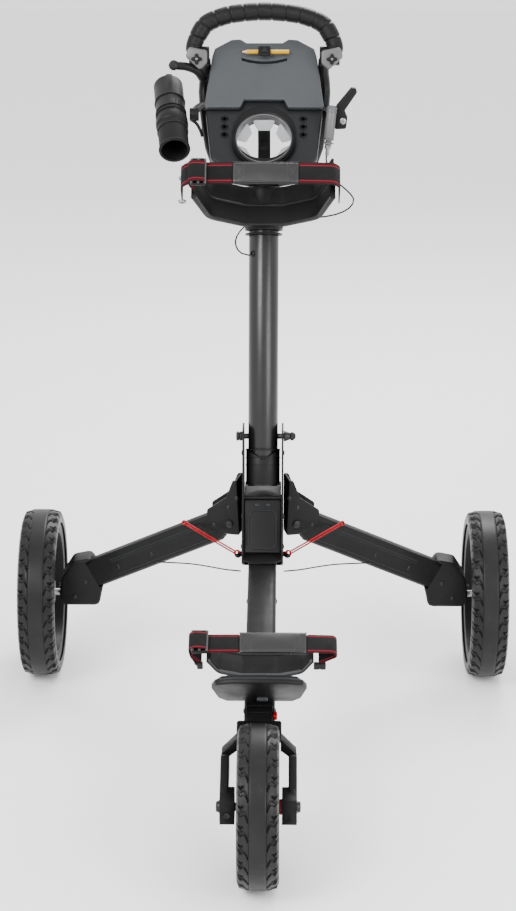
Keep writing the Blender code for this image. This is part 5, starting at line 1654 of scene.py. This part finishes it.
@dataclass
class Console:
    """The scorecard console: casing, lid with pencil, tee holders and cup holder."""

    cup_v: float = 0.0415

    @staticmethod
    def panel(v: float = 0.0, lift: float = 0.0) -> Matrix:
        """Local X right, local Y up the console's slope, local Z out of its face."""
        place = axes(at(0, 0.060, 0.891), RIGHT, Vector((0, cos(CONSOLE_LEAN), sin(CONSOLE_LEAN))))
        return place @ Matrix.Translation((0, v, lift))

    def build(self) -> None:
        """Builds the whole console."""
        self.casing()
        self.lid()
        self.pencil()
        self.cup()

    def casing(self) -> None:
        """The lower shell with its hole for the cup and its tee sockets."""
        half = [(0, 0.0), (0.070, 0.0), (0.084, 0.012), (0.0930, 0.097), (0.0830, 0.195), (0.076, 0.207),
                (0, 0.207)]
        outline = mirrored([half[0], *fillet(half[1:-1], 0.010, 6, False), half[-1]])
        hole = ring_of(0.0478, 72, (0, self.cup_v))
        tees = [(side * 0.0625, v) for side, _ in SIDES for v in (0.0545, 0.0690, 0.0835)]
        holes = [ring_of(0.0034, 20, tee) for tee in tees]
        mesh = slab([outline, hole, *holes], 0.022, 0.0032, self.panel(0, -0.023), 4)
        piece("console_shell", mesh, CASING_DARK, "upper", ["console_body"])
        brow, mouth = ring_of(0.0496, 96, (0, self.cup_v + 0.0125)), ring_of(0.0478, 96, (0, self.cup_v))
        hood = slab([brow, mouth], 0.010, 0.0022, self.panel(0, -0.0095), 4)
        piece("cup_hood", hood, MOULDED_BLACK, "upper")
        collars = []
        for x, v in tees:
            collars.append(lathe([(0.0035, -0.004), (0.0035, 0.0013), (0.0046, 0.0019), (0.0060, 0.0007),
                                  (0.0060, -0.004)], 24, shifted(self.panel(v, -0.012), x=x), True))
            collars.append(lathe([(0, -0.001), (0.0036, -0.001), (0.0036, -0.004), (0, -0.004)], 20,
                                 shifted(self.panel(v, -0.018), x=x)))
        piece("tee_sockets", joined(collars), MOULDED_BLACK, "upper")

    def lid(self) -> None:
        """The grey lid with its curved pencil slot, its seal and the pencil clip."""
        half = [(0, 0.113), (0.032, 0.113), (0.038, 0.0985), (0.0955, 0.0985), (0.089, 0.150),
                (0.0838, 0.195), (0.080, 0.209), (0.053, 0.226), (0.0385, 0.227), (0.029, 0.220), (0, 0.220)]
        outline = mirrored([half[0], *fillet(half[1:-1], 0.005, 5, False), half[-1]])
        slot = [(0.036 * t, 0.1800 + 0.0065 * t * t) for t in (k / 12 for k in range(-12, 13))]
        slot += [(x, y + 0.0052) for x, y in reversed(slot)]
        mesh = slab([outline, slot], 0.0076, 0.0020, self.panel(0, -0.0038), 4)
        piece("console_cover", mesh, CASING_GREY, "lid", ["console_lid"])
        under = slab([[(x * 1.06, 0.1840 + (y - 0.1840) * 1.3) for x, y in slot]], 0.0014, 0.0003,
                     self.panel(0, -0.0062))
        piece("cover_slot_floor", under, MOULDED_BLACK, "lid")
        seal = [(0.0944, 0.0995), (0.088, 0.150), (0.0828, 0.195), (0.079, 0.208), (0.0525, 0.2245)]
        ledge, lines = self.panel(0, -0.0098), []
        for side, _ in SIDES:
            points = [ledge @ Vector((side * x, v, 0)) for x, v in fillet(seal, 0.008, 5, False)]
            lines.append(tube(evenly(points, 0.004), 0.0019, 10))
        low = [ledge @ Vector((x, 0.1000, 0)) for x in (-0.0935, -0.06, -0.0385)]
        lines.append(tube(low, 0.0019, 10))
        lines.append(tube([Vector((-p.x, p.y, p.z)) for p in low], 0.0019, 10))
        piece("console_seal", joined(lines), GRIP_RUBBER, "upper")
        dress("pencil_clip", MOULDED_BLACK)
        mark = slab([fillet([(-0.0062, -0.0045), (0.0062, -0.0045), (0, 0.0062)], 0.001, 3)], 0.0016, 0.0005,
                    shifted(self.panel(0.1962, 0.0154)))
        piece("pencil_clip_pointer", mark, CASING_DARK, "lid")

    def pencil(self) -> None:
        """A short six-sided pencil, sharpened at its left end."""
        place = shifted(self.panel(0.1975, 0.0072)) @ Matrix.Rotation(-pi / 2, 4, "Y")
        radius, tail, cone, point = 0.0034, -0.0395, 0.0280, 0.0390
        barrel = lathe([(0, tail), (radius - 0.0003, tail), (radius, tail + 0.0004), (radius, cone - 0.001),
                        (radius * 0.9, cone), (0, cone)], 6, place)
        piece("pencil_barrel", barrel, PENCIL_YELLOW, "pencil", ["pencil"], 25)
        wood = lathe([(0, cone - 0.0004), (radius * 0.93, cone - 0.0004), (0.0009, point - 0.0032),
                      (0, point - 0.0032)], 24, place)
        piece("pencil_wood", wood, PENCIL_WOOD, "pencil")
        lead = lathe([(0, point - 0.0036), (0.0010, point - 0.0036), (0.0003, point), (0, point)], 16, place)
        piece("pencil_lead", lead, GRAPHITE, "pencil")

    def cup(self) -> None:
        """The cup ring with its dark lip, its soft fingers and the strap below."""
        place = self.panel(self.cup_v)
        wall = lathe([(0.0432, -0.024), (0.0428, -0.010), (0.0428, -0.0006), (0.0446, -0.0004),
                      (0.0462, -0.004), (0.0462, -0.024)], 96, place, True)
        piece("cup_wall", wall, SILVER_CASING, "upper", ["cup_ring"])
        lip = lathe([(0.0440, -0.0020), (0.0446, 0.0002), (0.0462, 0.0012), (0.0476, 0.0004),
                     (0.0476, -0.0100), (0.0464, -0.0100)], 96, place, True)
        piece("cup_lip", lip, MOULDED_BLACK, "upper")
        fingers = []
        for k in range(6):
            turn = place @ Matrix.Rotation(2 * pi * (k + 0.5) / 6, 4, "Z")
            tip = [(-0.0180, 0.0), (0.0180, 0.0), (0.0150, 0.0080), (0.0095, 0.0170), (-0.0095, 0.0170),
                   (-0.0150, 0.0080)]
            lean = turn @ Matrix.Translation((0.0410, 0, -0.0130)) @ Matrix.Rotation(radians(-38), 4, "Y")
            flat = lean @ Matrix.Rotation(pi / 2, 4, "Z")
            fingers.append(slab([fillet(tip, 0.003, 4)], 0.0012, 0.0005, flat))
        piece("cup_fingers", joined(fingers), FLEX_GREY, "upper")
        dress("cup_strap", MOULDED_BLACK)


@dataclass
class Handlebar:
    """The yoke, the pivots' covers and the segmented handle."""

    grip: float = 0.0146
    thin: float = 0.0126
    segments: int = 13

    def build(self) -> None:
        """Builds the top of the cart."""
        dress("yoke", MOULDED_BLACK)
        self.handle()
        for side, label in SIDES:
            self.cover(side, label)

    def handle(self) -> None:
        """The arched grip, pressed into segments, with its two pivot eyes."""
        right = [(0, -0.093, 1.1033), (0.050, -0.090, 1.0996), (0.080, -0.086, 1.0914),
                 (0.095, -0.083, 1.0831), (0.105, -0.078, 1.0694), (0.113, -0.071, 1.052),
                 (0.113, -0.066, 1.044)]
        points = [at(-x, f, u) for x, f, u in reversed(right[1:])] + [at(*p) for p in right]
        step = 0.0011
        line = evenly(curve_through(points, 10), step)
        total = step * len(line)
        pitch = total / self.segments

        def size(run: float) -> float:
            """The grip's radius, with a pressed seam between segments.

            Args:
                run: The distance along the grip.

            Returns:
                The radius there.
            """
            off = abs((run / pitch + 0.5) % 1.0 - 0.5) * pitch
            ends = smoothstep(0.0, 0.040, min(run, total - run))
            return self.thin + (self.grip - self.thin) * ends - 0.0014 * exp(-((off / 0.0013) ** 2))

        parts = [tube(line, size, 28)]
        for side, _ in SIDES:
            parts.append(lathe([(0.0148, -0.0076), (0.0150, -0.0066), (0.0150, 0.0066), (0.0148, 0.0076),
                                (0.0062, 0.0076), (0.0062, -0.0076)], 48,
                               pointing(at(side * 0.1130, -0.066, 1.036), RIGHT), True))
        piece("handle_segments", joined(parts), GRIP_RUBBER, "handle", ["handle_grip"])
        seams = []
        for forward, up in ((0.0095, -0.0092), (-0.0095, -0.0092)):
            seams.append(tube([p + Vector((0, -forward, up)) for p in line[40:-40:6]], 0.0007, 8))
        piece("handle_edge_lines", joined(seams), TAPE_BLACK, "handle")

    def cover(self, side: int, label: str) -> None:
        """A silver cap over a pivot, with a lobed knob and a bright screw.

        Args:
            side: -1 on the left, 1 on the right.
            label: The side's name.
        """
        outline = [(-0.017, 0.014), (0.013, 0.020), (0.018, 0.004), (-0.005, -0.017), (-0.017, -0.006)]
        shaped = fillet([(x * side, y) for x, y in outline], 0.006, 6)
        if side < 0:
            shaped = shaped[::-1]
        back = radians(14)
        place = axes(at(side * 0.1078, -0.042, 1.034), RIGHT, Vector((0, sin(back), cos(back))))
        cap = slab([shaped], 0.0092, 0.0030, place, 4)
        piece(f"{label}_pivot_cap", cap, SILVER_CASING, "upper", [f"{label}_pivot_cover"])
        lobes = []
        for k in range(48):
            a = 2 * pi * k / 48
            r = 0.0070 + 0.0019 * cos(4 * a)
            lobes.append((r * cos(a), r * sin(a)))
        knob = slab([lobes], 0.0044, 0.0012, shifted(place, z=0.0058))
        piece(f"{label}_pivot_knob", knob, MOULDED_BLACK, "upper")
        head = screw(0.0019, 0.0012)
        head.transform(shifted(place, z=0.0080))
        piece(f"{label}_pivot_screw", head, ZINC, "upper")


@dataclass
class Accessories:
    """The umbrella holder on the left arm and the brake lever on the right."""

    def build(self) -> None:
        """Builds both."""
        self.umbrella()
        self.brake()

    def umbrella(self) -> None:
        """The holder's tube with its bands, its knob and the hook on its link."""
        dress("umbrella_tube", MOULDED_BLACK)
        dress("umbrella_clamp", MOULDED_BLACK)
        direction = Vector((0.10, -cos(radians(30)), -sin(radians(30))))
        place = pointing(at(-0.147, 0.010, 0.952), direction)
        bands = []
        for z, wide in ((-0.030, 0.0030), (-0.004, 0.0024), (0.004, 0.0024), (0.040, 0.0028), (0.081, 0.0030)):
            low, high = z - wide / 2, z + wide / 2
            bands.append(lathe([(0.0215, low), (0.0243, low), (0.0249, z), (0.0243, high), (0.0215, high)],
                               56, place, True))
        piece("umbrella_bands", joined(bands), MOULDED_BLACK, "umbrella")
        knob = lathe([(0, 0.0075), (0.0045, 0.0070), (0.0066, 0.0045), (0.0070, 0.0012), (0.0052, -0.004),
                      (0, -0.004)], 32, pointing(place @ Vector((0, 0, -0.060)) + Vector((0, 0.010, 0.0200)),
                                                 Vector((0, 0.25, 1))))
        piece("umbrella_knob", knob, CASING_DARK, "umbrella")
        arm = [at(-0.0985, -0.060, 1.000), at(-0.1080, -0.052, 1.014), at(-0.1240, -0.047, 1.0215),
               at(-0.1400, -0.046, 1.0235)]
        piece("umbrella_arm", tube(evenly(curve_through(arm), 0.002), 0.0068, 16), MOULDED_BLACK, "upper")
        ball = lathe([(0, 0.0085), (0.0050, 0.0072), (0.0082, 0.0034), (0.0085, -0.0012), (0.0062, -0.0062),
                      (0, -0.0075)], 32, pointing(at(-0.1445, -0.046, 1.0240), Vector((-0.8, 0.1, 0.5))))
        piece("umbrella_ball", ball, CASING_DARK, "upper")
        link = [at(-0.1160, -0.004, 0.944), at(-0.1075, -0.003, 0.938), at(-0.1010, -0.004, 0.926),
                at(-0.0985, -0.005, 0.917)]
        piece("umbrella_hook", tube(evenly(curve_through(link), 0.002), 0.0026, 12), MOULDED_BLACK, "upper")

    def brake(self) -> None:
        """The lever with its barrel, cable ball and ferrule."""
        dress("brake_mount", MOULDED_BLACK)
        dress("brake_lever", MOULDED_BLACK)
        dress("brake_barrel", SILVER_CASING)
        place = pointing(at(0.1045, 0.0175, 0.9350), Vector((0.10, 0.12, 1)))
        rings = [lathe([(0.0072, z - 0.0012), (0.0086, z - 0.0008), (0.0086, z + 0.0008), (0.0072, z + 0.0012)],
                       32, place, True) for z in (-0.024, -0.018, 0.026, 0.031)]
        piece("brake_barrel_rings", joined(rings), SILVER_CASING, "upper")
        ferrule = lathe([(0, -0.0445), (0.0026, -0.0445), (0.0032, -0.040), (0.0032, -0.034),
                         (0.0048, -0.0325), (0.0056, -0.0295), (0.0042, -0.0265), (0, -0.0265)], 24, place)
        piece("brake_ferrule", ferrule, ZINC, "upper")
        head = screw(0.0052, 0.0026)
        head.transform(pointing(at(0.1250, 0.0058, 0.944), FORWARD))
        piece("brake_pivot_screw", head, ZINC, "lever")


def main() -> None:
    """Builds the whole scene."""
    Studio().build()
    FoldingFrame().build()
    for side, label in SIDES:
        Leg(side, label).build()
        Wheel(label, at(side * 0.3735, 0, 0.140), 0.140, 0.0612, (side,)).build()
    Wheel("front", at(0, 0.758, 0.1155), 0.1155, 0.0584, (-1, 1), pitches=26).build()
    FrontEnd().build()
    Mast().build()
    Cradles().build()
    Console().build()
    Handlebar().build()
    Accessories().build()


if __name__ == "__main__":
    main()
